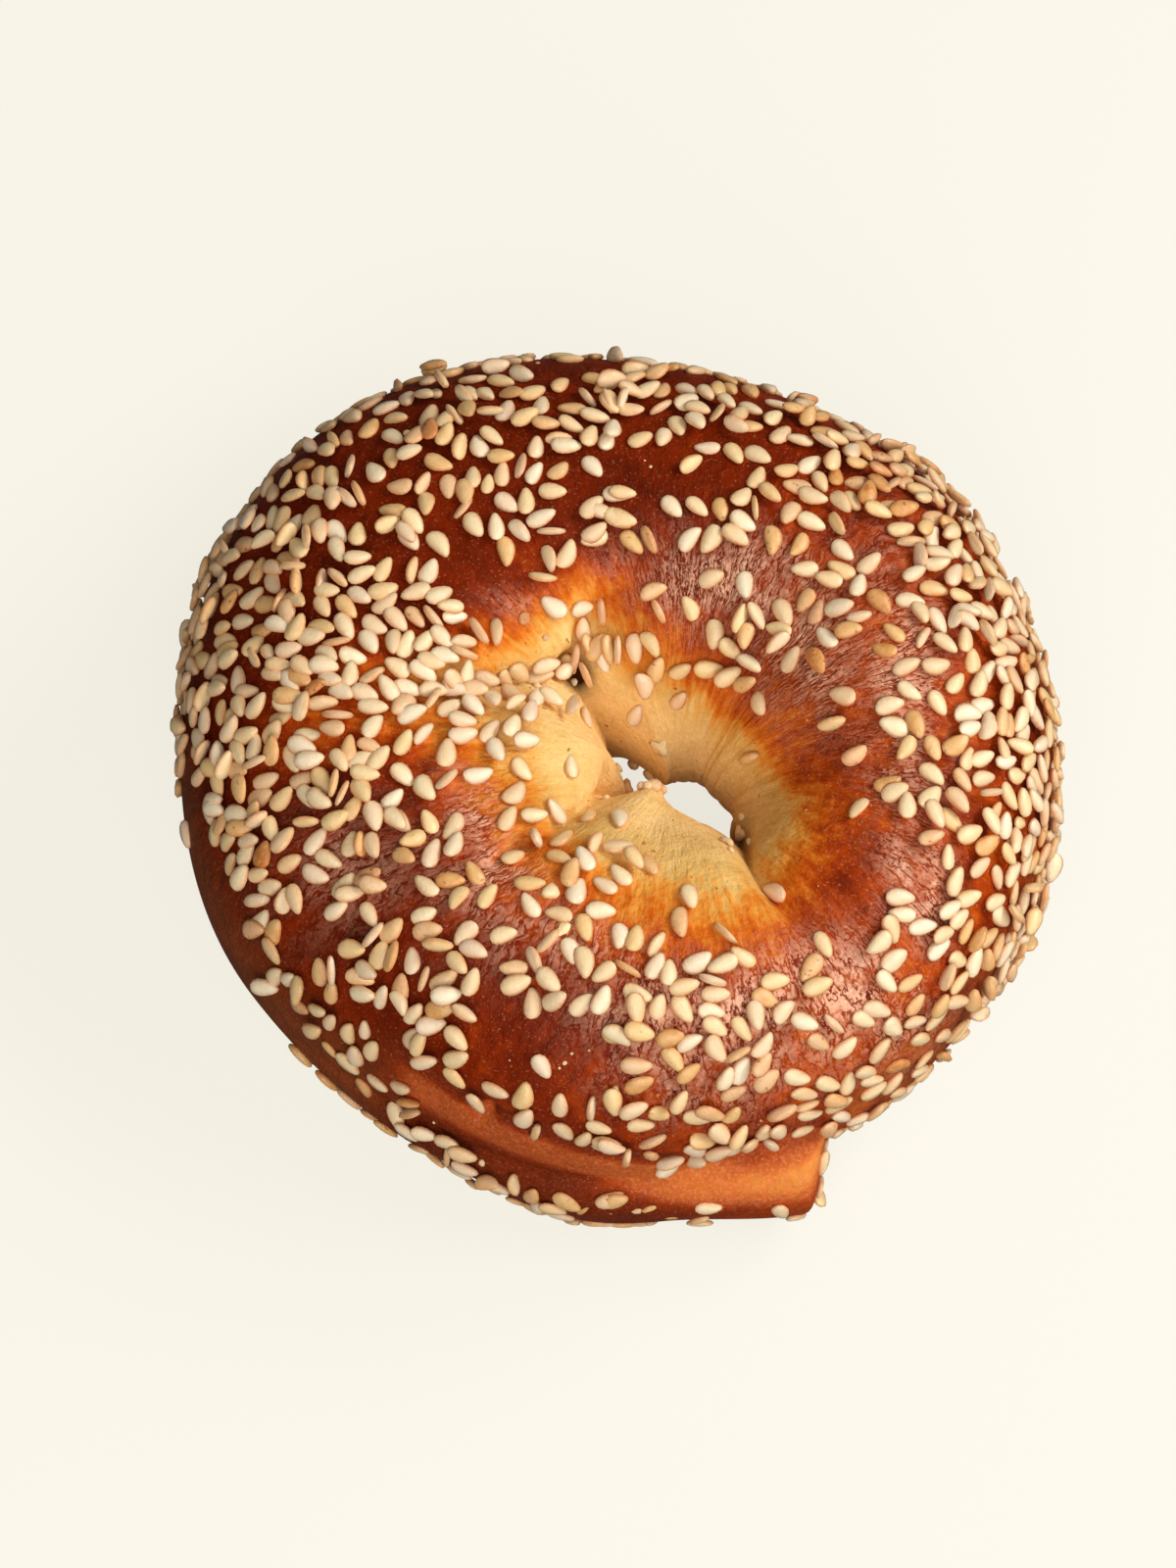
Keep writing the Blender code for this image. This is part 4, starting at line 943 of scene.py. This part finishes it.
# Crumbs and flakes: pixel of the photo, width in mm, height as a share of it, and how brown, 0 to 1.
crumbs = {
    "around": 9,  # points round a crumb
    "rings": 6,
    "rough": 0.16,  # how uneven a crumb is
    "seen": [
        (584, 697, 0.9, 0.9, 0.0), (640, 780, 1.5, 0.7, 0.30), (634, 780, 1.0, 0.7, 0.25),
        (643, 800, 1.6, 0.7, 0.55), (654, 797, 1.0, 0.8, 0.45), (662, 797, 1.6, 0.8, 0.4),
        (668, 803, 1.7, 0.7, 0.45), (675, 806, 1.0, 0.8, 0.5), (664, 790, 1.1, 0.7, 0.35),
        (757, 833, 0.9, 0.5, 0.1), (756, 851, 1.4, 0.4, 0.05), (756, 864, 0.8, 0.6, 0.05),
        (741, 861, 1.3, 0.7, 0.4), (745, 868, 0.9, 0.7, 0.3), (618, 806, 0.8, 0.6, 0.2),
        (612, 815, 0.7, 0.6, 0.1), (534, 631, 1.4, 0.2, 0.8), (557, 651, 0.8, 0.4, 0.6),
        (672, 764, 1.7, 0.35, 0.05), (677, 760, 0.9, 0.5, 0.05), (575, 947, 1.5, 0.3, 0.0),
        (571, 951, 0.9, 0.4, 0.0), (583, 1075, 0.34, 0.3, 0.35), (576, 1085, 0.4, 0.3, 0.3),
        (571, 1090, 0.26, 0.3, 0.4), (601, 1072, 0.2, 0.4, 0.4), (520, 1082, 0.2, 0.4, 0.4),
        (622, 1046, 0.2, 0.4, 0.4), (1029, 860, 0.9, 0.7, 0.3), (415, 442, 0.6, 0.7, 0.1),
        (443, 1145, 0.4, 0.6, 0.0), (492, 1186, 0.6, 0.6, 0.3), (664, 476, 0.35, 0.4, 0.35),
        (658, 470, 0.28, 0.4, 0.35), (548, 700, 0.8, 0.6, 0.1), (630, 655, 0.7, 0.6, 0.1),
    ],
    "scattered": 20,  # small flakes anywhere on the upper side
    "size": (0.18, 0.42),  # mm wide
    "flat": (0.5, 0.8),  # their height as a share of it
    "tones": (0.5, 1.0),
    "lean": (0.1, 0.6),  # least lean and its range, in half turns
    "ripples": 1.6,
    "stretch": (0.75, 1.25),
    "raised": 0.22,  # how far a crumb's middle stands off the crust, as a share of its height
    "randomSeed": 9,
}


def makeCrumbs(surface):
    # small uneven balls, flattened: a ball's radius is moved by three waves of its own round it
    draw = np.random.default_rng(crumbs["randomSeed"])
    seen = np.array(crumbs["seen"])
    seenTurn, seenLean, _ = placeOnPixels(surface, seen[:, :2])
    number = crumbs["scattered"]
    least, more = crumbs["lean"]
    turn = np.concatenate([seenTurn, 2 * np.pi * draw.random(number)])
    lean = np.concatenate([seenLean, np.pi * (least + more * draw.random(number))])
    point, along, normal, _ = crustFrame(turn, lean)
    heading = 2 * np.pi * draw.random(len(turn))[:, None]
    across = np.cross(normal, along)
    along = along * np.cos(heading) + across * np.sin(heading)
    across = np.cross(normal, along)
    size = np.concatenate([seen[:, 2], draw.uniform(*crumbs["size"], number)])
    height = size * np.concatenate([seen[:, 3], draw.uniform(*crumbs["flat"], number)])
    tone = np.concatenate([seen[:, 4], draw.uniform(*crumbs["tones"], number)])
    around, rings = crumbs["around"], crumbs["rings"]
    ringAngle = np.arange(around) / around * 2 * np.pi
    rowAngle = (np.arange(rings) + 0.5) / rings * np.pi
    angle, down = [grid.ravel() for grid in np.meshgrid(ringAngle, rowAngle)]
    ball = np.stack([np.sin(down) * np.cos(angle), np.sin(down) * np.sin(angle), np.cos(down)], -1)
    ball = np.concatenate([[(0, 0, 1)], ball, [(0, 0, -1)]])
    ripples = draw.normal(0, crumbs["ripples"], (len(turn), 3, 3))
    phases = draw.uniform(0, 6.28, (len(turn), 1, 3))
    uneven = 1 + crumbs["rough"] * np.sin(ball @ ripples + phases).sum(-1)
    ball = ball[None] * uneven[..., None]
    stretch = draw.uniform(*crumbs["stretch"], (len(turn), 1))
    places = (point + normal * (height * crumbs["raised"])[:, None])[:, None, :]
    places = places + (ball[..., 0] * (size / 2)[:, None] * stretch)[..., None] * along[:, None, :]
    places = places + (ball[..., 1] * (size / 2)[:, None])[..., None] * across[:, None, :]
    places = places + (ball[..., 2] * (height / 2)[:, None])[..., None] * normal[:, None, :]
    values = {"tone": np.repeat(tone, ball.shape[1])}
    faces = budFaces(around, rings, len(turn))
    return meshPiece("crumbs", insideBox(toMetres(places).reshape(-1, 3)), faces, values)


class Wire:
    # one output of a node, so that shader maths reads as a sum
    def __init__(self, paint, socket):
        self.paint, self.socket = paint, socket

    def __add__(self, other):
        return self.paint.maths("ADD", self, other)

    def __sub__(self, other):
        return self.paint.maths("SUBTRACT", self, other)

    def __mul__(self, other):
        return self.paint.maths("MULTIPLY", self, other)

    def __pow__(self, other):
        return self.paint.maths("POWER", self, other)

    def __radd__(self, other):
        return self.paint.maths("ADD", other, self)

    def __rsub__(self, other):
        return self.paint.maths("SUBTRACT", other, self)

    def __rmul__(self, other):
        return self.paint.maths("MULTIPLY", other, self)


class Paint:
    # a material and the nodes that are added to it
    def __init__(self, name):
        self.material = bpy.data.materials.new(name)
        self.material.use_nodes = True
        self.tree = self.material.node_tree
        self.shader = self.tree.nodes["Principled BSDF"]

    def connect(self, socket, value):
        # a link from another node, or a plain value
        if isinstance(value, Wire):
            self.tree.links.new(value.socket, socket)
        else:
            socket.default_value = value

    def node(self, kind, settings=None, inputs=None, output=0):
        # a new node with its settings and inputs, as the wire of one of its outputs
        made = self.tree.nodes.new(kind)
        for key, value in (settings or {}).items():
            if key == "stops":
                self.setStops(made.color_ramp, value)
            else:
                setattr(made, key, value)
        for key, value in (inputs or {}).items():
            self.connect(made.inputs[key], value)
        return Wire(self, made.outputs[output])

    def setStops(self, ramp, stops):
        # a colour at each of a ramp's places
        while len(ramp.elements) < len(stops):
            ramp.elements.new(0.5)
        for element, (position, shade) in zip(ramp.elements, stops):
            element.position = position
            element.color = shade

    def maths(self, operation, first, second=0.0):
        # a sum, product or the like of one or two numbers
        return self.node("ShaderNodeMath", {"operation": operation}, {0: first, 1: second})

    def step(self, value, low, high, start=0.0, end=1.0):
        # a smooth rise from start at low to end at high
        settings = {"interpolation_type": "SMOOTHSTEP"}
        return self.node("ShaderNodeMapRange", settings, {0: value, 1: low, 2: high, 3: start, 4: end})

    def mix(self, share, first, second):
        # from one colour to another by a share
        inputs = {0: share, 6: first, 7: second}
        return self.node("ShaderNodeMix", {"data_type": "RGBA"}, inputs, 2)

    def noise(self, vector, scale, detail, roughness, fourth=None):
        # cloudy noise about 0.5, in four dimensions if a fourth coordinate is given
        settings = {"noise_dimensions": "3D" if fourth is None else "4D"}
        inputs = {"Vector": vector, "Scale": scale, "Detail": detail, "Roughness": roughness}
        if fourth is not None:
            inputs["W"] = fourth
        return self.node("ShaderNodeTexNoise", settings, inputs)

    def attribute(self, name, output="Fac"):
        # a value stored at the mesh's points
        return self.node("ShaderNodeAttribute", {"attribute_name": name}, {}, output)

    def vector(self, operation, first, second=(0.0, 0.0, 0.0)):
        # a sum, product or the like of one or two vectors
        return self.node("ShaderNodeVectorMath", {"operation": operation}, {0: first, 1: second})

    def together(self, first, second, third):
        # a vector from three numbers
        return self.node("ShaderNodeCombineXYZ", {}, {0: first, 1: second, 2: third})

    def scaled(self, vector, amount):
        # a vector or colour times a number
        return self.node("ShaderNodeVectorMath", {"operation": "SCALE"}, {0: vector, "Scale": amount})

    def inMm(self):
        # the place on the piece, in millimetres
        return self.scaled(self.node("ShaderNodeTexCoord", {}, {}, "Object"), 1000.0)

    def parts(self, vector):
        # the three numbers of a vector
        split = self.node("ShaderNodeSeparateXYZ", {}, {0: vector}).socket.node
        return [Wire(self, output) for output in split.outputs]

    def ramp(self, stops, tone):
        # screen colours at set places, with straight blends between
        linear = [(position, colour(*shade)) for position, shade in stops]
        return self.node("ShaderNodeValToRGB", {"stops": linear}, {0: tone})

    def bump(self, height):
        # relief from a height in mm
        inputs = {"Strength": 1.0, "Distance": 0.001, "Height": height}
        return self.node("ShaderNodeBump", {}, inputs, "Normal")

    def layers(self, share, under, over):
        # a matt shader and a glossy one over the share of the surface that shines
        self.finish(**under)
        glossy = self.node("ShaderNodeBsdfPrincipled", {}, over)
        matt = Wire(self, self.shader.outputs[0])
        both = self.node("ShaderNodeMixShader", {}, {0: share, 1: matt, 2: glossy})
        self.connect(self.tree.nodes["Material Output"].inputs["Surface"], both)
        return self.material

    def finish(self, **inputs):
        # the shader's inputs by name; gives the finished material
        for key, value in inputs.items():
            self.connect(self.shader.inputs[key], value)
        return self.material


def colour(red, green, blue):
    # a colour as it looks on a screen, 0 to 255, as the shader's linear one
    screen = np.array([red, green, blue]) / 255
    linear = np.where(screen <= 0.04045, screen / 12.92, ((screen + 0.055) / 1.055) ** 2.4)
    return (*linear.tolist(), 1.0)


# The crust's colours from pale to dark, and how strong its patterns are.
crustLook = {
    "stops": [
        (0.00, (252, 208, 136)),
        (0.14, (232, 184, 104)),
        (0.28, (230, 150, 58)),
        (0.44, (208, 100, 20)),
        (0.60, (172, 62, 8)),
        (0.78, (128, 36, 5)),
        (1.00, (84, 21, 3)),
    ],
    "blotchDepth": 0.32,  # how much browner and paler each pattern makes it
    "mottleDepth": 0.16,
    "streakDepth": 0.26,
    "fibreDepth": 0.22,
    "grainDepth": 0.16,
    "ringRadius": 20.0,  # mm: radius of the way round the ring that the patterns are drawn on
    "wrinkleRadius": 3.2,  # mm: radius of the way round the section, less than the true one, so that
    "streakRadius": 5.0,  # wrinkles and streaks are drawn out along it
    "wave": 1.3,  # how far the wrinkles wander
    "wrinkle": 0.12,  # mm high
    "grooveShade": 0.45,  # how dark the painted shade in the grooves between the wrinkles is
    "crinkle": 0.16,  # mm high, as are the next three
    "grain": 0.04,
    "lump": 0.22,
    "fold": 0.12,  # fine folds of the pale dough
    "paintedHighlight": (255, 188, 148),  # painted highlight on the ridges of the shiny patches
    "paintedHighlightShare": (0.94, 0.40),  # on the ridges and on the speckles
    "sparkle": (240, 178, 128),  # of the small glints
    "rollSheen": (228, 138, 88),  # painted sheen on the roll
    "rollSheenShare": (0.2, 0.34),  # on all of it, and more on the grains
    "flank": (174, 128, 74),  # painted dull sheen low on the outer side, a reflection's grey veil
    "flankSheenShare": 0.15,
    "speck": (120, 74, 30),
    "speckShare": 0.7,
    "deep": (58, 24, 8),  # painted shade of the deep creases and the hole
    "roughness": 0.46,
    "glossyRoughness": 0.26,
    "shine": 0.9,
}

# The crust's noise patterns: how many waves to the mm, levels of detail, and how rough these are.
crustPatterns = {
    "lump": (0.5, 3.0, 0.55),
    "wrinkle": (2.1, 2.0, 0.5),
    "fibre": (1.5, 3.0, 0.65),
    "streak": (0.62, 3.0, 0.6),
    "blotch": (0.2, 4.0, 0.6),
    "grain": (1 / 0.36, 2.0, 0.6),
    "crinkle": (1.7, 4.0, 0.65),
    "mottle": (0.9, 3.0, 0.65),
    "speckle": (2.6, 3.0, 0.7),
    "glint": (3.4, 2.0, 0.7),
    "speck": (1.3, 1.0, 0.5),
}

# Where each effect starts and is full, and for two of them its share before and after.
crustEdges = {
    "ridge": (0.02, 0.13),  # away from a groove's middle
    "ridgeGaps": (0.36, 0.54, 0.42, 1.0),  # of the crinkles
    "speckle": (0.55, 0.68),
    "patchGaps": (0.38, 0.55, 0.3, 1.0),  # of the blotches
    "patchBrown": (0.36, 0.56),  # of the browning
    "glint": (0.60, 0.70),
    "glintBrown": (0.2, 0.36),
    "sheenOnGrains": (0.45, 0.65),  # of the grains
    "rollSheenBrown": (0.52, 0.72),
    "speck": (0.745, 0.77),
    "speckBrown": (0.2, 0.5),
    "groove": (0.0, 0.08),
    "wrinkledBrown": (0.35, 0.8),
    "wrinkleSlope": (0.0, 0.3),
}

# Where the crust shines, through a glossy layer and a painted highlight, seen from above: middle, half width
# and half depth, and how much.
shinyPatches = {
    "rightCrest": ((28.4, 1.0), (4.2, 14.0), 0.72),
    "besideTheFarWall": ((19.5, 4.5), (5.5, 6.5), 0.85),
    "lowerRight": ((22.4, -30.6), (8.6, 4.6), 1.0),
    "belowTheNearWall": ((14.0, -33.0), (8.5, 5.0), 1.0),
    "rightEnd": ((29.4, -19.6), (3.0, 5.6), 1.0),
    "overTheFarWall": ((12.4, 12.2), (10.5, 4.6), 0.75),
    "frontCrest": ((4.0, -33.0), (6.0, 3.6), 0.85),
    "lowFront": ((7.0, -38.0), (7.0, 3.2), 0.7),
    "belowTheTongue": ((-11.3, -18.2), (6.0, 6.5), 0.75),
    "leftOfTheTongue": ((-12.2, -10.0), (3.8, 6.2), 1.0),
    "onTheTongue": ((-9.4, -3.4), (2.6, 2.4), 0.7),
    "leftEndOfTheNearWall": ((-4.0, -26.0), (9.0, 4.0), 0.5),
    "onTheLip": ((-9.6, 9.8), (3.4, 1.6), 0.28),
    "leftFront": ((-26.5, -17.7), (6.0, 5.0), 0.45),
}


def crustMaterial():
    # the browning, moved by blotches, streaks and grain, picks a colour from the ramp; over it lie the
    # shiny patches' painted highlight, the roll's painted sheen and specks, then the painted dull sheen low
    # on the outer side and the painted shade of the deep creases and of the wrinkles' grooves. The wrinkles
    # are noise on four coordinates, two for the way round the ring and two for the way round the section
    look, patterns, edges = crustLook, crustPatterns, crustEdges
    paint = Paint("bakedCrust")
    inMm = paint.inMm()
    hx, hy = dough["hole"][0] - dough["middle"][0], dough["hole"][1] - dough["middle"][1]
    fromAxis = paint.vector("SUBTRACT", inMm, (hx, hy, 0.0))
    level = paint.vector("MULTIPLY", fromAxis, (1.0, 1.0, 0.0))
    wayX, wayY, _ = paint.parts(paint.vector("NORMALIZE", level))
    sectionX, sectionY, _ = paint.parts(paint.attribute("sectionWay", "Vector"))
    ring, near, wide = look["ringRadius"], look["wrinkleRadius"], look["streakRadius"]
    lump = paint.noise(inMm, *patterns["lump"])
    wave = (lump - 0.5) * look["wave"]
    wrinkleWay = paint.together(wayX * ring + wave, wayY * ring - wave, sectionX * near)
    streakWay = paint.together(wayX * ring, wayY * ring, sectionX * wide)
    wrinkle = paint.noise(wrinkleWay, *patterns["wrinkle"], sectionY * near)
    fibre = paint.noise(streakWay, *patterns["fibre"], sectionY * wide)
    streak = paint.noise(streakWay, *patterns["streak"], sectionY * wide)
    blotch = paint.noise(inMm, *patterns["blotch"])
    grain = paint.noise(inMm, *patterns["grain"])
    crinkle = paint.noise(inMm, *patterns["crinkle"])
    shine = paint.attribute("shine")
    brown = paint.attribute("brown")
    middling = brown * (1.0 - brown) * 4.0
    ringed = paint.attribute("streaky")
    blotchy = (0.6 + 0.4 * middling) * (0.4 + 0.6 * ringed)
    tone = brown + (blotch - 0.5) * look["blotchDepth"] * 2.0 * blotchy
    streaky = middling * (0.1 + 0.9 * ringed)
    tone = tone + (streak - 0.5) * look["streakDepth"] * 2.0 * streaky
    tone = tone + (fibre - 0.5) * look["fibreDepth"] * 2.0 * streaky
    mottle = paint.noise(inMm, *patterns["mottle"])
    tone = tone + (mottle - 0.5) * look["mottleDepth"] * 2.0 * (0.4 + 0.6 * middling)
    tone = tone + (grain - 0.5) * look["grainDepth"] * middling
    base = paint.ramp(look["stops"], tone)
    fromGroove = paint.maths("ABSOLUTE", wrinkle * 2.0 - 1.0)
    ridge = paint.step(fromGroove, *edges["ridge"]) * paint.step(crinkle, *edges["ridgeGaps"])
    speckle = paint.step(paint.noise(inMm, *patterns["speckle"]), *edges["speckle"])
    patch = shine * paint.step(blotch, *edges["patchGaps"]) * paint.step(brown, *edges["patchBrown"])
    # painted highlight on the ridges and speckles of the shiny patches
    onRidge, onSpeckle = look["paintedHighlightShare"]
    paintedHighlight = (onRidge * ridge + onSpeckle * speckle) * patch
    base = paint.mix(paintedHighlight, base, colour(*look["paintedHighlight"]))
    glint = paint.step(paint.noise(inMm, *patterns["glint"]), *edges["glint"])
    glint = glint * paint.step(brown, *edges["glintBrown"])
    base = paint.mix(glint * (0.04 + 0.30 * middling), base, colour(*look["sparkle"]))
    # painted sheen on the roll, more on the grains
    everywhere, onGrain = look["rollSheenShare"]
    sheenOnGrains = everywhere + onGrain * paint.step(grain, *edges["sheenOnGrains"])
    rollSheen = (1.0 - ringed) * sheenOnGrains * (1.0 - 0.85 * paint.step(brown, *edges["rollSheenBrown"]))
    base = paint.mix(rollSheen, base, colour(*look["rollSheen"]))
    speck = paint.step(paint.noise(inMm, *patterns["speck"]), *edges["speck"])
    speck = speck * (1.0 - paint.step(brown, *edges["speckBrown"]))
    base = paint.mix(speck * look["speckShare"], base, colour(*look["speck"]))
    # painted dull sheen low on the outer side
    base = paint.mix(paint.attribute("flank") * look["flankSheenShare"], base, colour(*look["flank"]))
    # painted shade in the deep creases and the hole
    base = paint.mix(paint.attribute("deep"), base, colour(*look["deep"]))
    # painted shade in the grooves between the wrinkles of the shiny patches
    groove = (1.0 - paint.step(fromGroove, *edges["groove"])) * patch
    shade = (0.64 + 0.44 * grain + 0.28 * mottle) * (1.0 - look["grooveShade"] * groove)
    base = paint.scaled(base, shade)
    wrinkled = paint.step(brown, *edges["wrinkledBrown"])
    fold = (1.0 - wrinkled) * ringed
    slope = paint.step(fromGroove, *edges["wrinkleSlope"])
    height = slope * look["wrinkle"] * (0.04 + 0.36 * wrinkled + 0.8 * shine)
    height = height + (crinkle - 0.5) * look["crinkle"] * 2.0 * (0.3 + 0.7 * shine)
    height = height + (grain - 0.5) * look["grain"] * 2.0 + (lump - 0.5) * look["lump"] * 2.0
    height = height + (fibre - 0.5) * look["fold"] * 2.0 * fold
    bump = paint.bump(height)
    rough = look["roughness"] + (blotch - 0.5) * 0.2 + (1.0 - wrinkled) * 0.18
    gloss = patch * look["shine"] * (0.12 + 0.88 * paint.maths("MAXIMUM", ridge, speckle))
    matt = {"Base Color": base, "Roughness": rough, "Normal": bump, "Specular IOR Level": 0.03}
    glossy = {**matt, "Roughness": look["glossyRoughness"], "Specular IOR Level": 0.8}
    return paint.layers(gloss, matt, glossy)


# The seeds' colours from pale to golden brown, and the tints that lie over them, with their shares.
seedLook = {
    "stops": [
        (0.00, (252, 234, 200)),
        (0.30, (249, 221, 176)),
        (0.70, (244, 206, 152)),
        (0.90, (232, 178, 112)),
        (0.97, (218, 150, 82)),
        (1.00, (196, 118, 58)),
    ],
    "tip": (196, 140, 84),
    "tipShare": 0.35,
    # the rim: partly toasting, partly painted contact shade and translucent edge
    "rim": (208, 132, 66),
    "yellow": (246, 212, 146),  # some seeds lean to yellow, others to pink
    "yellowShare": 0.55,
    "pink": (240, 200, 166),
    "pinkShare": 0.45,
    "speck": (140, 78, 30),
    "speckShare": 0.75,
    "roughness": 0.32,
    "fine": 0.04,  # mm of relief
    "smudge": 0.10,
}


def seedMaterial():
    # each seed's own tone picks its colour; tips are darker, and rims are darker partly from toasting and
    # partly as painted shade where the seed meets the crust and a painted translucent edge, with small
    # smudges
    look = seedLook
    paint = Paint("sesame")
    inMm = paint.inMm()
    smudge = paint.noise(inMm, 0.9, 3.0, 0.6)
    fine = paint.noise(inMm, 5.0, 2.0, 0.6)
    tone = paint.attribute("tone") + (smudge - 0.5) * 0.25
    base = paint.ramp(look["stops"], tone)
    tint = paint.attribute("tint")
    yellow = paint.step(tint, 0.55, 1.0) * look["yellowShare"]
    base = paint.mix(yellow, base, colour(*look["yellow"]))
    pink = (1.0 - paint.step(tint, 0.0, 0.45)) * look["pinkShare"]
    base = paint.mix(pink, base, colour(*look["pink"]))
    # rims darker, partly toasting and partly painted contact shade and translucent edge
    rim = paint.attribute("rim") ** 2.2
    base = paint.mix(rim * (0.3 + 0.75 * smudge), base, colour(*look["rim"]))
    speck = paint.step(paint.noise(inMm, 1.5, 2.0, 0.5), 0.66, 0.72) * paint.step(tone, 0.7, 0.95)
    base = paint.mix(speck * look["speckShare"], base, colour(*look["speck"]))
    tip = paint.step(paint.attribute("along"), 0.8, 1.0)
    base = paint.mix(tip * look["tipShare"], base, colour(*look["tip"]))
    base = paint.scaled(base, 0.94 + 0.12 * fine)
    bump = paint.bump((fine - 0.5) * look["fine"] + (smudge - 0.5) * look["smudge"])
    inputs = {"Base Color": base, "Roughness": look["roughness"], "Normal": bump, "IOR": 1.45}
    return paint.finish(**inputs)


# The crumbs' two colours, and their relief in mm.
crumbLook = {"pale": (250, 222, 168), "brown": (196, 120, 56), "roughness": 0.55, "relief": 0.15}


def crumbMaterial():
    # from pale to brown by each crumb's tone, with small smudges
    look = crumbLook
    paint = Paint("crumb")
    smudge = paint.noise(paint.inMm(), 2.0, 3.0, 0.6)
    tone = paint.attribute("tone") + (smudge - 0.5) * 0.6
    base = paint.mix(paint.step(tone, 0.0, 1.0), colour(*look["pale"]), colour(*look["brown"]))
    bump = paint.bump(smudge * look["relief"])
    return paint.finish(**{"Base Color": base, "Roughness": look["roughness"], "Normal": bump})


# The pale table, the lights and the light of the room.
studio = {
    "table": (250, 246, 234),
    "tableSize": 3.0,  # metres
    "tableGrey": 0.16,  # share of the table's brightness that comes from the lights
    "glow": 0.84,  # and the share that it gives off by itself
    "lights": {  # the way to each from the bagel, its two sides in metres, and its power
        "keyLight": ((0.74, 0.16, 0.66), (0.55, 0.20), 3.05),
        "frontLight": ((0.0, -0.64, 0.77), (0.45, 0.45), 2.2),
        "lowFillLight": ((0.15, -0.93, 0.33), (0.50, 0.30), 0.55),
    },
    "lightDistance": 0.6,
    "sky": 0.14,
    "skyColour": (1.0, 0.93, 0.82),
}


def makeTable():
    # a flat square under the bagel, partly bright by itself, so that its shadows stay soft
    half = studio["tableSize"] / 2
    corners = np.array([(-half, -half, 0), (half, -half, 0), (half, half, 0), (-half, half, 0)])
    table = meshPiece("table", corners, [np.array([[0, 1, 2, 3]])])
    paint = Paint("paleTable")
    shade = colour(*studio["table"])
    grey = (*(studio["tableGrey"] * part for part in shade[:3]), 1.0)
    glow = {"Emission Color": shade, "Emission Strength": studio["glow"]}
    material = paint.finish(**{"Base Color": grey, "Roughness": 0.9, "Specular IOR Level": 0.0, **glow})
    table.data.materials.append(material)
    table.visible_glossy = False  # the crust doesn't mirror it
    table.visible_diffuse = False  # nor does it throw light on the bagel


def softBox(name, way, size, power):
    # an oblong light that looks at the bagel from a direction; its first side lies level
    light = bpy.data.lights.new(name, "AREA")
    light.shape = "RECTANGLE"
    light.size, light.size_y = size
    light.energy = power
    lamp = bpy.data.objects.new(name, light)
    bpy.context.collection.objects.link(lamp)
    lamp.location = Vector(way).normalized() * studio["lightDistance"]
    lamp.rotation_euler = (-lamp.location).to_track_quat("-Z", "Y").to_euler()


def makeStudio():
    # the lights, and a faint warm light from all round
    for name, (way, size, power) in studio["lights"].items():
        softBox(name, way, size, power)
    world = bpy.data.worlds.new("room")
    world.use_nodes = True
    world.node_tree.nodes["Background"].inputs["Color"].default_value = (*studio["skyColour"], 1.0)
    world.node_tree.nodes["Background"].inputs["Strength"].default_value = studio["sky"]
    bpy.context.scene.world = world
    bpy.context.scene.view_settings.view_transform = "Standard"


def makeCamera():
    # at the photo's elevation, with a lens that shows the photo's height at the target
    back = Vector(photoAxes()[2])
    data = bpy.data.cameras.new("camera")
    data.sensor_width = 36
    data.lens = data.sensor_width * photo["distance"] / photo["heightSeen"]
    data.clip_start, data.clip_end = 0.01, 20
    camera = bpy.data.objects.new("camera", data)
    bpy.context.collection.objects.link(camera)
    camera.location = Vector(photo["target"]) + back * photo["distance"]
    camera.rotation_euler = (-back).to_track_quat("-Z", "Y").to_euler()
    bpy.context.scene.camera = camera


def dress(piece, material):
    # a finished piece of the bagel: its material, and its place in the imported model
    piece.data.materials.append(material)
    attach(piece, "root")
    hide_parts("sesame_bagel")


makeCamera()
makeStudio()
makeTable()
print("studio ready")

crust, surface = makeCrust()
dress(crust, crustMaterial())
print("crust made")

dress(makeSeeds(surface), seedMaterial())
print("seeds made")

dress(makeCrumbs(surface), crumbMaterial())
print("crumbs made")
